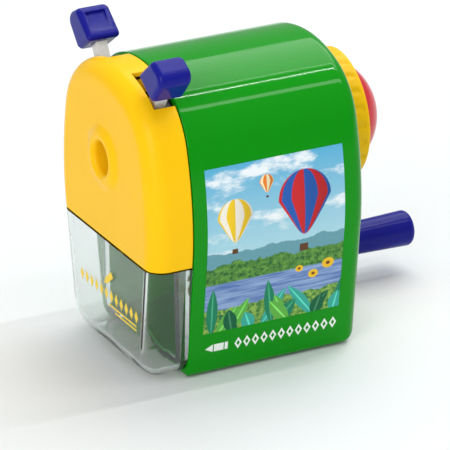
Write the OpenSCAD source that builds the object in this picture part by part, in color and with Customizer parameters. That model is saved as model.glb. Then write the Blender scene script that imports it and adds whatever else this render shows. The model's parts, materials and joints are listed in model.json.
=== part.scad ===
// Desk pencil sharpener with a hand crank, a pull-out front and a clear drawer.
// Frame: X to the right seen from the front, -Y is the front, +Y the crank side, +Z up.
// The origin is the centre of the body's footprint, on the surface that the feet stand on.

/* [Body] */
// Width of the body at its belly
body_w = 60; // [54:1:72]
// Height of the crown above the table
body_h = 83.5; // [78:0.5:101]
// Length of the green shell, from the front cover to the rear face
shell_l = 51.5; // [46:0.5:64]
// Height of the belly, where the sides are widest
belly_z = 44.5; // [38:0.5:50]
// Radius of the sides above the belly
side_r = 90; // [80:1:110]
// Radius of the sides at and below the belly
belly_r = 60; // [45:1:90]
// Lean of the straight lower sides from upright, in degrees
side_lean = 8.5; // [4:0.5:10]
// Radius of the rounded shoulders
shoulder_r = 20; // [16:0.5:22]
// Radius of the crown
crown_r = 40; // [36:1:46]
// Wall of the shell and the cover
wall = 2; // [1.6:0.1:2.4]
// Radius of the rounded rear edge of the shell
rear_edge_r = 4; // [2:0.5:5]
// Radius of the lower corners of the shell
base_corner_r = 1.5; // [0.8:0.1:2.5]
// Height of the rubber feet below the shell
foot_h = 0.6; // [0.4:0.1:2]
// Radius of a rubber foot
foot_r = 4; // [3:0.5:5]

/* [Front cover] */
// Depth of the front cover, from its face to the shell
cover_t = 12; // [11:0.5:15]
// Radius of the rounded front edge of the cover and the drawer
front_edge_r = 5.5; // [3:0.5:6]
// Height of the lower edge of the cover
cover_z = 34.3; // [32:0.1:36]
// Radius of the pencil hole
hole_r = 4.5; // [4.2:0.1:5]
// Radius of the raised ring round the pencil hole
boss_r = 8.6; // [7.5:0.1:10]
// Height of the raised ring
boss_h = 1.1; // [0.6:0.1:1.6]
// Depth of the lever slots from the rear edge of the cover
slot_depth = 6.4; // [6:0.1:6.8]
// Half of the width of the tongue between the lever slots
tongue_half_w = 7; // [5:0.5:8]
// Outer end of each lever slot, from the middle of the cover
slot_end_x = 20.6; // [20.5:0.1:22.5]

/* [Levers] */
// Distance of each lever pivot from the middle
pivot_x = 10.7; // [9.5:0.1:11.5]
// Height of the lever pivots above the pencil axis
pivot_rise = 8.5; // [8:0.1:10]
// Lean of the lever stems from upright, in degrees
stem_lean = 27; // [24:0.5:29]
// Width of a lever stem
stem_w = 4; // [3:0.1:4.4]
// Thickness of a lever
lever_t = 3; // [2.4:0.1:3]
// Half of the gap between the closed jaws
jaw_gap = 3.4; // [2.8:0.1:3.8]
// Radius of a lever pivot pin
pivot_r = 1.5; // [1.2:0.1:1.8]
// Length of a knob along the sharpener
knob_l = 9.6; // [8:0.1:12]
// Distance from the pivot to the underside of the knob
stem_l = 18.8; // [18.2:0.1:20]

/* [Drawer] */
// Wall of the drawer
drawer_wall = 1.6; // [1.2:0.1:2]
// Radius of the lower corners of the drawer front
drawer_corner_r = 7; // [4:0.5:9]
// Rise of the arch under the drawer front
arch_rise = 2.5; // [1:0.1:3]
// Half of the width of the arch under the drawer front
arch_half_w = 17; // [12:0.5:19]
// Space between the drawer's tray and the rear wall of the shell
tray_rear_gap = 4; // [2:0.5:8]

/* [Cutter and crank] */
// Height of the pencil axis
axis_z = 57.7; // [56.5:0.1:58.5]
// Radius of the crank shaft
shaft_r = 3; // [2.4:0.1:3.2]
// Tilt of the cutter axle from the pencil axis, in degrees
cutter_tilt = 10.6; // [9:0.1:11]
// Radius of the cutter
cutter_r = 4.6; // [4:0.1:4.6]
// Length of the cutter
cutter_l = 18; // [14:0.5:18]
// Radius of the cutter axle
axle_r = 1.2; // [1:0.1:1.4]
// Teeth on the pinion; the fixed ring has three times as many
pinion_teeth = 10; // [8:2:10]
// Distance from the crank shaft to the handle
crank_reach = 47.9; // [42:0.1:50]

// Turn of the crank from hanging straight down, towards the left side
crank_angle = 18; // [0:1:45]
// Radius of the domed crank hub
hub_r = 13.8; // [12:0.1:17]
// Height of the dome of the hub
dome_h = 7.3; // [4:0.1:8]
// Length of the handle grip
grip_l = 24.5; // [16:0.5:34]
// Radius of the grip at its free end
grip_r = 5.1; // [4.6:0.1:6.5]
// Radius of the grip at the crank arm
grip_root_r = 4.5; // [4:0.1:5]
// Radius of the handle pin
pin_r = 2; // [1.5:0.1:2.2]

/* [Point dial] */
// Radius of the dial
dial_r = 18.2; // [16:0.1:19]
// Length of the dial
dial_l = 7.3; // [5:0.1:9]
// Number of flutes round the dial
flutes = 24; // [16:2:30]
// Radius of the boss that the dial turns on
dial_boss_r = 9; // [8.6:0.1:10]
// How far the dial moves the cutter back
adjust_travel = 1.5; // [1:0.1:1.5]

/* [Guide rods] */
// Distance of each guide rod from the middle
rod_x = 23.5; // [23:0.1:24]
// Height of the guide rods
rod_z = 48; // [46:0.5:50]
// Radius of a guide rod
rod_r = 2; // [1.5:0.1:2.2]
// Radius of the wire of the feed springs
feed_wire_r = 0.3; // [0.25:0.01:0.4]

/* [Label] */
// Lower edge of each side label
label_z0 = 13; // [10:0.5:20]
// Height of each side label
label_h = 48; // [30:0.5:48]
// Length of each side label
label_l = 40.8; // [30:0.1:42]
// Distance from the front of the shell to each label
label_gap = 4; // [3:0.1:5]
// Thickness of each label
label_t = 0.15; // [0.1:0.01:0.3]

/* [Fits] */
// Radial clearance of a turning or sliding fit
running = 0.05; // [0.03:0.01:0.08]
// Gap between pieces that pass each other
gap = 0.3; // [0.2:0.05:0.4]

/* [Hidden] */
$fn = 64;
eps = 0.01;

// Stations along Y
front_y = -(cover_t + shell_l) / 2;
rear_y = front_y + cover_t + shell_l;
seam_y = front_y + cover_t;
chassis_y = seam_y + 2.25;
chassis_t = 3;
lever_y = seam_y - 4.95;
plate_y = lever_y + lever_t + gap;
plate_t = seam_y - 0.2 - plate_y;

// Moulding details
screw_r = 1.1;
screw_head_r = 2.4;
screw_head_h = 1.2;
screw_l = 8;
boss_wall = 1.7;
chassis_screw_r = screw_r + 0.3;
floor_z = foot_h + wall;

// Centres of the arcs of the body outline, as [x, z]
half_w = body_w / 2;
side_c = [half_w - side_r, belly_z];
belly_c = [half_w - belly_r, belly_z];
crown_c = [0, body_h - crown_r];
// The shoulder's centre is where circles round the side's and the crown's centres cross
span = norm(crown_c - side_c);
along_span = ((side_r - shoulder_r) ^ 2 - (crown_r - shoulder_r) ^ 2 + span ^ 2) / (2 * span);
off_span = sqrt((side_r - shoulder_r) ^ 2 - along_span ^ 2);
span_dir = (crown_c - side_c) / span;
shoulder_c = side_c + along_span * span_dir + off_span * [-span_dir[1], span_dir[0]];
side_end = atan2(shoulder_c[1] - side_c[1], shoulder_c[0] - side_c[0]);
shoulder_end = atan2(shoulder_c[1] - crown_c[1], shoulder_c[0] - crown_c[0]);

// Chassis, its screws and the bushes of the guide rods
chassis_screw_at = [[19, axis_z + 13.5], [22, cover_z + 4.2]];
bush_y1 = chassis_y + 7.5;

// Guide rods and their clips
rod_y0 = front_y + wall + 1.2;
rod_y1 = rear_y - wall - 3.75;
clip_t = 1;

// Front cover and retainer plate
plate_inset = wall + 0.2;
cover_screw_at = [[20, cover_z + 5.5], [-20, cover_z + 5.5], [0, body_h - wall - 4.8]];
collar_y1 = lever_y - 0.5;

// Levers
pivot_z = axis_z + pivot_rise;
pivot_at = [pivot_x, pivot_z];
stem_dir = [sin(stem_lean), cos(stem_lean)];
stem_top = pivot_at + (stem_l + 5) * stem_dir;
lever_spring_z = axis_z + 13.7;
jaw_h = 8;
jaw_w = 3.6;
jaw_teeth = 5;
// Corners of a knob, as [across the stem, along the stem, radius of the rounding]
knob_corners = [[-4.5, 0, 1.1], [5, -1, 1.8], [6.5, 9.7, 3], [-1.6, 9.7, 2.2]];
knob_middle = 5;

// Drawer
drawer_z1 = cover_z - gap - 0.05;
tray_half_w = lean_x(floor_z, wall) - 0.6;
tray_z0 = floor_z + gap;
tray_z1 = drawer_z1 - 0.6;
tray_y1 = rear_y - wall - tray_rear_gap;
drawer_base = foot_h + 0.4;
well_z = drawer_base + arch_rise + drawer_wall;

// Gear ring, pinion and cutter carrier
pinion_y = seam_y + 14.75;
pinion_l = 3;
pinion_offset = 9;
ring_teeth = 3 * pinion_teeth;
pinion_pitch_r = pinion_offset * pinion_teeth / (ring_teeth - pinion_teeth);
ring_pitch_r = 3 * pinion_pitch_r;
pinion_tip_r = pinion_pitch_r + 0.55;
pinion_root_r = pinion_pitch_r - 0.65;
ring_tip_r = ring_pitch_r - 0.15;
ring_root_r = ring_pitch_r + 1.4;
ring_outer_r = ring_root_r + 2.6;
ring_y0 = pinion_y - pinion_l / 2 - 1.5;
ring_y1 = pinion_y + pinion_l / 2 + adjust_travel + 1.5;
seat_r = ring_outer_r + 2;
inner_boss_y = rear_y - wall - 6;
carrier_r = ring_tip_r - 0.8;
carrier_y0 = pinion_y - pinion_l / 2 - 4.5;
carrier_y1 = inner_boss_y - 3.4;
disc_t = 3;
boss_l = 1.4;
rear_disc_y = carrier_y1 - boss_l - disc_t;
axle_l = (rear_disc_y + disc_t - 1 - carrier_y0) / cos(cutter_tilt);

// Point dial and the sleeve that it moves
rear_boss_y = rear_y + dial_l + gap / 2;
sleeve_r = shaft_r + 3.5;
key_w = 2;
key_h = 1.1;
dial_y0 = rear_y + gap;
dial_y1 = dial_y0 + dial_l;
dial_edge = 0.5;
flute_r = 1.1;
flute_depth = 0.5;
flange_y0 = dial_y1 + 0.15;
flange_t = 0.9;
sleeve_y0 = inner_boss_y - 3.2;

// Crank and handle
hub_y0 = flange_y0 + flange_t + 0.15;
arm_t = 3.9;
rim_t = 1;
dome_r = (hub_r ^ 2 + dome_h ^ 2) / (2 * dome_h);
shaft_y0 = carrier_y1 - 3.4;
shaft_y1 = hub_y0 + arm_t;
handle_z = axis_z - crank_reach;
arm_root_w = 14;
arm_tip_r = grip_root_r + 0.9;
grip_y0 = hub_y0 + arm_t + gap;
pin_y1 = grip_y0 + grip_l - 3;

function arc(c, r, a0, a1, steps) =
    [for (i = [0:steps]) c + r * [cos(a0 + (a1 - a0) * i / steps), sin(a0 + (a1 - a0) * i / steps)]];

// Half-width of the straight lower side at height z, moved in by inset
function lean_x(z, inset) =
    belly_c[0] + (belly_r - inset) * cos(side_lean)
    - (belly_z - (belly_r - inset) * sin(side_lean) - z) * tan(side_lean);

// Right half of the body outline, from the base up to the crown
function half_outline(inset, base, corner) = concat(
    arc([lean_x(base + corner, inset + corner), base + corner], corner, -90, -side_lean, 4),
    arc(belly_c, belly_r - inset, -side_lean, 0, 3),
    arc(side_c, side_r - inset, side_end / 4, side_end, 3),
    arc(shoulder_c, shoulder_r - inset, side_end + (shoulder_end - side_end) / 8, shoulder_end, 7),
    arc(crown_c, crown_r - inset, shoulder_end + (90 - shoulder_end) / 4, 90, 3));

function outline(inset, base, corner) =
    let (half = half_outline(inset, base, corner), n = len(half))
    concat(half, [for (i = [n - 2:-1:0]) [-half[i][0], half[i][1]]]);

// Extrudes a shape drawn in X and Z from y0 to y1
module along(y0, y1) {
    translate([0, y1, 0]) rotate([90, 0, 0]) linear_extrude(y1 - y0) children();
}

// A slice of the body outline
module slab(y0, y1, inset, base, corner) {
    along(y0, y1) polygon(outline(inset, base, corner));
}

// A round bar along Y
module rod_y(x, z, r, y0, y1) {
    translate([x, y0, z]) rotate([-90, 0, 0]) cylinder(r = r, h = y1 - y0);
}

// A flat bar in X and Z from a to b
module bar(a, b, w) {
    translate(a) rotate(atan2(b[1] - a[1], b[0] - a[0])) translate([0, -w / 2]) square([norm(b - a), w]);
}

module both_sides() {
    children();
    mirror([1, 0, 0]) children();
}

module above(z) {
    translate([-body_w, front_y - body_w, z]) cube([2 * body_w, 3 * body_w + shell_l, 2 * body_h]);
}

// Body with a rounded front edge, from the cover's face to y1
module nose(y1, base, corner, edge) {
    hull() for (a = [0:22.5:90])
        slab(front_y + edge * (1 - sin(a)), y1, edge * (1 - cos(a)), base + edge * (1 - cos(a)), corner);
}

// ---- Housing ----

module body_shell() {
    color("forestgreen") difference() {
        union() {
            difference() {
                hull() for (a = [0:22.5:90])
                    slab(seam_y + gap / 2, rear_y - rear_edge_r * (1 - sin(a)),
                         rear_edge_r * (1 - cos(a)), foot_h + rear_edge_r * (1 - cos(a)), base_corner_r);
                slab(seam_y - gap, rear_y - wall, wall, floor_z, base_corner_r);
            }
            both_sides() for (p = chassis_screw_at)
                rod_y(p[0], p[1], screw_r + boss_wall, chassis_y + chassis_t, rear_y - wall / 2);
            rod_y(0, axis_z, dial_boss_r + 1, inner_boss_y, rear_y - wall / 2);
            rod_y(0, axis_z, dial_boss_r - running, rear_y - wall / 2, rear_boss_y);
        }
        rod_y(0, axis_z, sleeve_r + running, inner_boss_y - gap, rear_boss_y + gap);
        translate([-(key_w + gap) / 2, inner_boss_y - gap, axis_z])
            cube([key_w + gap, rear_boss_y - inner_boss_y + 2 * gap, sleeve_r + key_h + gap]);
        both_sides() for (p = chassis_screw_at)
            rod_y(p[0], p[1], screw_r, chassis_y + chassis_t - gap, chassis_y + chassis_t + screw_l);
        foot_places() translate([0, 0, -gap]) cylinder(r = foot_r, h = gap + foot_h + wall / 2);
    }
}

module foot_places() {
    foot_x = lean_x(foot_h, 0) - foot_r - 3;
    for (x = [-foot_x, foot_x], y = [seam_y + foot_r + 3, rear_y - rear_edge_r - foot_r - 1])
        translate([x, y, 0]) children();
}

module rubber_feet() {
    color("dimgray") foot_places() cylinder(r = foot_r, h = foot_h + wall / 2);
}

module label(side) {
    y0 = seam_y + label_gap;
    mirror([side < 0 ? 1 : 0, 0, 0]) along(y0, y0 + label_l) intersection() {
        difference() {
            polygon(outline(-label_t, foot_h, base_corner_r));
            polygon(outline(0, foot_h, base_corner_r));
        }
        translate([0, label_z0]) square([body_w, label_h]);
    }
}

module label_right() { color("skyblue") label(1); }
module label_left() { color("skyblue") label(-1); }

// ---- Gear train ----

// Outline of a gear; each tooth is wide at its root and narrow at its tip, in parts of a pitch
function gear(teeth, root_r, tip_r, root_w, tip_w, phase) =
    [for (i = [0:teeth - 1], k = [0:3])
        let (a = phase + 360 / teeth * (i + [-root_w, -tip_w, tip_w, root_w][k] / 2),
             r = [root_r, tip_r, tip_r, root_r][k])
        r * [cos(a), sin(a)]];

module chassis() {
    color("gainsboro") difference() {
        union() {
            intersection() {
                slab(chassis_y, chassis_y + chassis_t, wall, floor_z, base_corner_r);
                above(cover_z + 1);
            }
            rod_y(0, axis_z, seat_r, chassis_y + chassis_t - eps, ring_y1);
            both_sides() rod_y(rod_x, rod_z, rod_r + 2, chassis_y + chassis_t - eps, bush_y1);
        }
        rod_y(0, axis_z, carrier_r + gap, chassis_y - gap, ring_y0);
        rod_y(0, axis_z, ring_outer_r, ring_y0, ring_y1 + gap);
        both_sides() rod_y(rod_x, rod_z, rod_r + running, chassis_y - gap, bush_y1 + gap);
        both_sides() for (p = chassis_screw_at)
            rod_y(p[0], p[1], chassis_screw_r, chassis_y - gap, chassis_y + chassis_t + gap);
    }
}

module gear_ring() {
    color("silver") difference() {
        rod_y(0, axis_z, ring_outer_r, ring_y0, ring_y1);
        translate([0, 0, axis_z]) along(ring_y0 - gap, ring_y1 + gap)
            polygon(gear(ring_teeth, ring_tip_r, ring_root_r, 0.62, 0.36, 180 / ring_teeth));
    }
}

module pan_screw(x, z, y) {
    rod_y(x, z, screw_head_r, y - screw_head_h, y);
    rod_y(x, z, screw_r, y - eps, y + screw_l);
}

module chassis_screws() {
    color("silver") both_sides() for (p = chassis_screw_at) pan_screw(p[0], p[1], chassis_y);
}

// ---- Pull-out front ----

module front_cover() {
    color("gold") difference() {
        union() {
            difference() {
                intersection() {
                    nose(seam_y - gap / 2, foot_h, base_corner_r, front_edge_r);
                    above(cover_z);
                }
                intersection() {
                    slab(front_y + wall, seam_y + gap, wall, floor_z, base_corner_r);
                    above(cover_z + wall);
                }
            }
            rod_y(0, axis_z, hole_r + 2, front_y + wall / 2, collar_y1);
            translate([0, front_y + eps, axis_z]) rotate([90, 0, 0])
                cylinder(r1 = boss_r, r2 = boss_r - 1.8, h = boss_h + eps);
            both_sides() rod_y(rod_x, rod_z, rod_r + 1.7, front_y + wall / 2, plate_y);
            for (p = cover_screw_at) rod_y(p[0], p[1], screw_r + boss_wall, front_y + wall / 2, plate_y);
            both_sides() rod_y(pivot_x, pivot_z, pivot_r + 1.4, front_y + wall / 2, lever_y - running);
        }
        rod_y(0, axis_z, hole_r, front_y - boss_h - gap, collar_y1 + gap);
        translate([0, front_y, axis_z]) rotate([90, 0, 0])
            cylinder(r1 = hole_r, r2 = hole_r + 1.1, h = boss_h + 2 * eps);
        both_sides() rod_y(rod_x, rod_z, rod_r, rod_y0, seam_y);
        for (p = cover_screw_at) rod_y(p[0], p[1], screw_r, plate_y + plate_t - screw_l, seam_y);
        both_sides() rod_y(pivot_x, pivot_z, pivot_r, lever_y - 3, seam_y);
        both_sides() translate([tongue_half_w, seam_y - slot_depth, shoulder_c[1] + 8])
            cube([slot_end_x - tongue_half_w, slot_depth + gap, body_h]);
    }
}

module retainer_plate() {
    color("dimgray") difference() {
        intersection() {
            slab(plate_y, plate_y + plate_t, plate_inset, floor_z, base_corner_r);
            above(cover_z + plate_inset);
        }
        rod_y(0, axis_z, hole_r + 1, plate_y - gap, seam_y);
        both_sides() rod_y(rod_x, rod_z, rod_r, plate_y - gap, seam_y);
        both_sides() rod_y(pivot_x, pivot_z, pivot_r, plate_y - gap, seam_y);
        for (p = cover_screw_at) rod_y(p[0], p[1], screw_r, plate_y - gap, seam_y);
    }
}

module cover_screws() {
    color("silver") for (p = cover_screw_at) {
        rod_y(p[0], p[1], screw_head_r, plate_y + plate_t, plate_y + plate_t + screw_head_h);
        rod_y(p[0], p[1], screw_r, plate_y + plate_t - screw_l, plate_y + plate_t + eps);
    }
}

module lever_pins() {
    color("silver") both_sides() rod_y(pivot_x, pivot_z, pivot_r, lever_y - 3, plate_y + plate_t);
}

module guide_rods() {
    color("silver") both_sides() difference() {
        rod_y(rod_x, rod_z, rod_r, rod_y0, rod_y1);
        clip_groove();
    }
}

module clip_groove() {
    difference() {
        rod_y(rod_x, rod_z, rod_r + gap, rod_y1 - 2 * clip_t, rod_y1 - clip_t);
        rod_y(rod_x, rod_z, rod_r - 0.4, rod_y1 - 3 * clip_t, rod_y1);
    }
}

module rod_clips() {
    color("silver") both_sides() difference() {
        rod_y(rod_x, rod_z, rod_r + 1.3, rod_y1 - 2 * clip_t, rod_y1 - clip_t);
        rod_y(rod_x, rod_z, rod_r - 0.4, rod_y1 - 3 * clip_t, rod_y1);
        translate([rod_x - rod_r / 2, rod_y1 - 3 * clip_t, rod_z - 2 * rod_r])
            cube([rod_r, 3 * clip_t, 2 * rod_r]);
    }
}

// A round wire wound into a coil of radius r round +Z, from z = 0 to z = h
module coil(r, wire, h, turns) {
    sides = 6;
    per_turn = 12;
    rings = turns * per_turn;
    pts = [for (i = [0:rings], k = [0:sides - 1])
        let (a = 360 * i / per_turn, b = 360 * k / sides)
        [(r + wire * cos(b)) * cos(a), (r + wire * cos(b)) * sin(a),
         wire + (h - 2 * wire) * i / rings + wire * sin(b)]];
    walls = [for (i = [0:rings - 1], k = [0:sides - 1], t = [0:1])
        let (p = i * sides + k, q = i * sides + (k + 1) % sides)
        t == 0 ? [p, p + sides, q] : [q, p + sides, q + sides]];
    ends = [[for (k = [0:sides - 1]) k],
            [for (k = [sides - 1:-1:0]) rings * sides + k]];
    polyhedron(pts, concat(walls, ends));
}

module feed_springs() {
    color("silver") both_sides() translate([rod_x, bush_y1, rod_z]) rotate([-90, 0, 0])
        coil(rod_r + 0.35 + feed_wire_r, feed_wire_r, rod_y1 - 2 * clip_t - bush_y1, 9);
}

// ---- Levers and knobs ----

module lever() {
    along(lever_y, lever_y + lever_t) difference() {
        union() {
            translate(pivot_at) circle(r = pivot_r + 2);
            bar(pivot_at, stem_top, stem_w);
            bar(pivot_at, [jaw_gap + jaw_w - 0.5, axis_z + 1], stem_w);
            translate([jaw_gap + 0.7, axis_z - jaw_h / 2]) square([jaw_w - 0.7, jaw_h]);
            for (i = [0:jaw_teeth - 1]) translate([0, axis_z - jaw_h / 2 + jaw_h * i / jaw_teeth])
                polygon([[jaw_gap + 0.7 + eps, 0], [jaw_gap + 0.7 + eps, jaw_h / jaw_teeth],
                         [jaw_gap, jaw_h / jaw_teeth / 2]]);
        }
        translate(pivot_at) circle(r = pivot_r + running);
    }
}

module lever_right() { color("white") lever(); }
module lever_left() { color("white") mirror([1, 0, 0]) lever(); }

// A leaning pad with rounded edges; its underside is square to the stem
module knob() {
    base = pivot_at + stem_l * stem_dir;
    side = [stem_dir[1], -stem_dir[0]];
    knob_y = lever_y + lever_t / 2;
    difference() {
        hull() for (c = knob_corners, s = [-1, 1]) {
            p = base + (c[0] + (c[0] < 0 ? c[2] : -c[2])) * side
                + (c[1] + (c[1] < knob_middle ? c[2] : -c[2])) * stem_dir;
            translate([p[0], knob_y + s * (knob_l / 2 - c[2]), p[1]]) sphere(r = c[2], $fn = 20);
        }
        along(lever_y, lever_y + lever_t) bar(pivot_at, stem_top, stem_w);
    }
}

module knob_right() { color("mediumblue") knob(); }
module knob_left() { color("mediumblue") mirror([1, 0, 0]) knob(); }

module lever_spring() {
    reach = pivot_x + (lever_spring_z - pivot_z) * tan(stem_lean) - stem_w / 2 / cos(stem_lean) - 1.2;
    color("silver") translate([-reach, lever_y + lever_t / 2, lever_spring_z]) rotate([0, 90, 0])
        coil(1.3, 0.25, 2 * reach, 10);
}

// ---- Drawer ----

module shavings_drawer() {
    color("lightcyan") difference() {
        union() {
            difference() {
                nose(seam_y - gap / 2, drawer_base, drawer_corner_r, front_edge_r);
                above(drawer_z1);
                arch_r = (arch_half_w ^ 2 + arch_rise ^ 2) / (2 * arch_rise);
                rod_y(0, drawer_base + arch_rise - arch_r, arch_r, front_y - gap, seam_y);
            }
            translate([-tray_half_w, seam_y - wall, tray_z0])
                cube([2 * tray_half_w, tray_y1 - seam_y + wall, tray_z1 - tray_z0]);
        }
        slab(front_y + drawer_wall, seam_y - gap / 2 - drawer_wall, drawer_wall, well_z, drawer_corner_r);
        translate([drawer_wall - tray_half_w, front_y + drawer_wall + 2, well_z])
            cube([2 * (tray_half_w - drawer_wall), tray_y1 - front_y - 2 * drawer_wall - 2, body_h]);
    }
}

// ---- Dial and sleeve ----

module point_dial() {
    color("gold") difference() {
        union() {
            rod_y(0, axis_z, dial_r, dial_y0, dial_y1 - dial_edge);
            translate([0, dial_y1 - dial_edge, axis_z]) rotate([-90, 0, 0])
                cylinder(r1 = dial_r, r2 = dial_r - dial_edge, h = dial_edge);
        }
        rod_y(0, axis_z, dial_boss_r, dial_y0 - gap, dial_y1 + gap);
        for (i = [0:flutes - 1]) rotate_about_axis(360 / flutes * i)
            rod_y(0, axis_z + dial_r + flute_r - flute_depth, flute_r, dial_y0 - gap, dial_y1 + gap);
    }
}

module rotate_about_axis(a) {
    translate([0, 0, axis_z]) rotate([0, a, 0]) translate([0, 0, -axis_z]) children();
}

module adjuster_sleeve() {
    color("whitesmoke") difference() {
        union() {
            rod_y(0, axis_z, sleeve_r, sleeve_y0, flange_y0 + flange_t);
            rod_y(0, axis_z, dial_boss_r + 2.5, flange_y0, flange_y0 + flange_t);
            translate([-key_w / 2, inner_boss_y, axis_z])
                cube([key_w, rear_y - inner_boss_y, sleeve_r + key_h]);
        }
        rod_y(0, axis_z, shaft_r + running, sleeve_y0 - gap, flange_y0 + flange_t + gap);
    }
}

// ---- Crank ----

module crank_shaft() {
    color("silver") rod_y(0, axis_z, shaft_r, shaft_y0, shaft_y1);
}

module crank_arm() {
    color("crimson") rotate_about_axis(crank_angle) difference() {
        union() {
            translate([0, hub_y0, axis_z]) rotate([-90, 0, 0]) rotate_extrude() polygon(concat(
                [[0, 0], [hub_r, 0]], arc([0, rim_t + dome_h - dome_r], dome_r, acos(hub_r / dome_r), 90, 9)));
            along(hub_y0, hub_y0 + arm_t) union() {
                polygon([[-arm_root_w / 2, axis_z], [arm_root_w / 2, axis_z],
                         [arm_tip_r, handle_z], [-arm_tip_r, handle_z]]);
                translate([0, handle_z]) circle(r = arm_tip_r);
            }
        }
        rod_y(0, axis_z, shaft_r, hub_y0 - gap, shaft_y1);
        rod_y(0, handle_z, pin_r, hub_y0 + 1, hub_y0 + arm_t + gap);
    }
}

module handle_pin() {
    color("silver") rotate_about_axis(crank_angle) rod_y(0, handle_z, pin_r, hub_y0 + 1, pin_y1);
}

module handle_grip() {
    end_r = 1.8;
    color("mediumblue") rotate_about_axis(crank_angle) translate([0, grip_y0, handle_z])
        rotate([-90, 0, 0]) rotate_extrude() difference() {
        polygon(concat([[0, 0], [grip_root_r - 0.5, 0], [grip_root_r, 0.5]],
                       arc([grip_r - end_r, grip_l - end_r], end_r, 0, 90, 6), [[0, grip_l]]));
        square([pin_r + running, pin_y1 - grip_y0 + gap]);
    }
}

// ---- Cutter ----

// Distance of the cutter axle from the pencil axis at y
function axle_offset(y) = pinion_offset - (y - pinion_y) * tan(cutter_tilt);

// Places children with +Z along the cutter axle, from y
module on_axle(y) {
    translate([0, y, axis_z + axle_offset(y)]) rotate([-90 - cutter_tilt, 0, 0]) children();
}

module cutter_carrier() {
    color("dimgray") difference() {
        union() {
            rod_y(0, axis_z, carrier_r, carrier_y0, carrier_y0 + disc_t);
            rod_y(0, axis_z, carrier_r, rear_disc_y, rear_disc_y + disc_t);
            rod_y(0, axis_z, shaft_r + 2, rear_disc_y, carrier_y1);
            intersection() {
                difference() {
                    rod_y(0, axis_z, carrier_r, carrier_y0, rear_disc_y + eps);
                    rod_y(0, axis_z, carrier_r - 1.8, carrier_y0, rear_disc_y + 2 * eps);
                }
                translate([-carrier_r, carrier_y0, axis_z - carrier_r])
                    cube([2 * carrier_r, rear_disc_y - carrier_y0 + eps, carrier_r]);
            }
            intersection() {
                rod_y(0, axis_z, carrier_r - 1, pinion_y + pinion_l, rear_disc_y + eps);
                translate([-1.5, carrier_y0, axis_z - carrier_r]) cube([3, shell_l, carrier_r]);
            }
        }
        rod_y(0, axis_z, hole_r + 0.6, carrier_y0 - gap, pinion_y + pinion_l / 2);
        cone_y0 = pinion_y - pinion_l;
        cone_l = hole_r / tan(cutter_tilt);
        translate([0, cone_y0, axis_z]) rotate([-90, 0, 0]) cylinder(r1 = hole_r + 0.6, r2 = 0.6, h = cone_l);
        rod_y(0, axis_z, shaft_r, shaft_y0, carrier_y1 + gap);
        on_axle(carrier_y0) translate([0, 0, -gap - 1]) cylinder(r = axle_r, h = axle_l + gap + 1);
        for (x = [-carrier_r, 4]) translate([x, pinion_y + pinion_l, axis_z - carrier_r - gap])
            cube([carrier_r - 4, 8, carrier_r - 3]);
    }
}

module cutter_axle() {
    color("silver") on_axle(carrier_y0) translate([0, 0, 0.6]) cylinder(r = axle_r, h = axle_l - 0.6);
}

module helical_cutter() {
    ribs = 18;
    color("slategray") on_axle(pinion_y + pinion_l / 2) difference() {
        linear_extrude(height = cutter_l, twist = -100, slices = 8)
            polygon(gear(ribs, cutter_r - 0.7, cutter_r, 0.7, 0.16, 0));
        translate([0, 0, -gap]) cylinder(r = axle_r + running, h = cutter_l + 2 * gap);
    }
}

module cutter_pinion() {
    color("silver") on_axle(pinion_y - pinion_l / 2) difference() {
        linear_extrude(pinion_l / cos(cutter_tilt)) polygon(
            gear(pinion_teeth, pinion_root_r, pinion_tip_r, 0.5, 0.24, 180 / pinion_teeth));
        translate([0, 0, -gap]) cylinder(r = axle_r + running, h = pinion_l + 2 * gap);
    }
}

body_shell();
chassis();
gear_ring();
rubber_feet();
label_right();
label_left();
chassis_screws();
feed_springs();
shavings_drawer();
front_cover();
retainer_plate();
cover_screws();
lever_pins();
lever_spring();
guide_rods();
rod_clips();
lever_left();
knob_left();
lever_right();
knob_right();
point_dial();
adjuster_sleeve();
crank_shaft();
crank_arm();
cutter_carrier();
cutter_axle();
handle_pin();
helical_cutter();
cutter_pinion();
handle_grip();
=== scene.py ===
import json
import math
from functools import partial

import bmesh
import bpy
import numpy as np
from mathutils import Matrix, Vector


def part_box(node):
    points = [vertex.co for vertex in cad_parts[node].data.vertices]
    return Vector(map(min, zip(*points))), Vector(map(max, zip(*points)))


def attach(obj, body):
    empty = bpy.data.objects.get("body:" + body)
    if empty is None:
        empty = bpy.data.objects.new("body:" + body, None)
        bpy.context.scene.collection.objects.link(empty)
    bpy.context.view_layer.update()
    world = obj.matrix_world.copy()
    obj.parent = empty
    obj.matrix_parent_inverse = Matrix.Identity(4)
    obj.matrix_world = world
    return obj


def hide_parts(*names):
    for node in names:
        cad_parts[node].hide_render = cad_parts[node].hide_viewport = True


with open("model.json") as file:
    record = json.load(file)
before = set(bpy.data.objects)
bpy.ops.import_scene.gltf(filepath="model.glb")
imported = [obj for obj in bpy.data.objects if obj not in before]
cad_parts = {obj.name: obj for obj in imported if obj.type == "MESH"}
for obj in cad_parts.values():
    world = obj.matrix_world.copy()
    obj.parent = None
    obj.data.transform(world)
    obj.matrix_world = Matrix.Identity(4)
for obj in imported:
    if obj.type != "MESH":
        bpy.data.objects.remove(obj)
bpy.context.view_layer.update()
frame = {"nodes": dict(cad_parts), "record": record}

# Everything below is in millimetres until a mesh is made.
MM = 0.001


def cad(node):
    """Lowest and highest corner of a CAD node, in millimetres."""
    low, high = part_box(node)
    return np.array(low) / MM, np.array(high) / MM


# ---- Sizes: the outline of the body, seen along Y ----

HALF_WIDTH = cad("body_shell")[1][0]
CROWN_Z = cad("body_shell")[1][2]
BELLY_Z = 44.5
SIDE_R = 90.0
BELLY_R = 60.0
SIDE_LEAN = 8.5
SHOULDER_R = 20.0
CROWN_R = 40.0
WALL = 2.0
BASE_CORNER_R = 1.5

# ---- Sizes along Y ----

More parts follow.
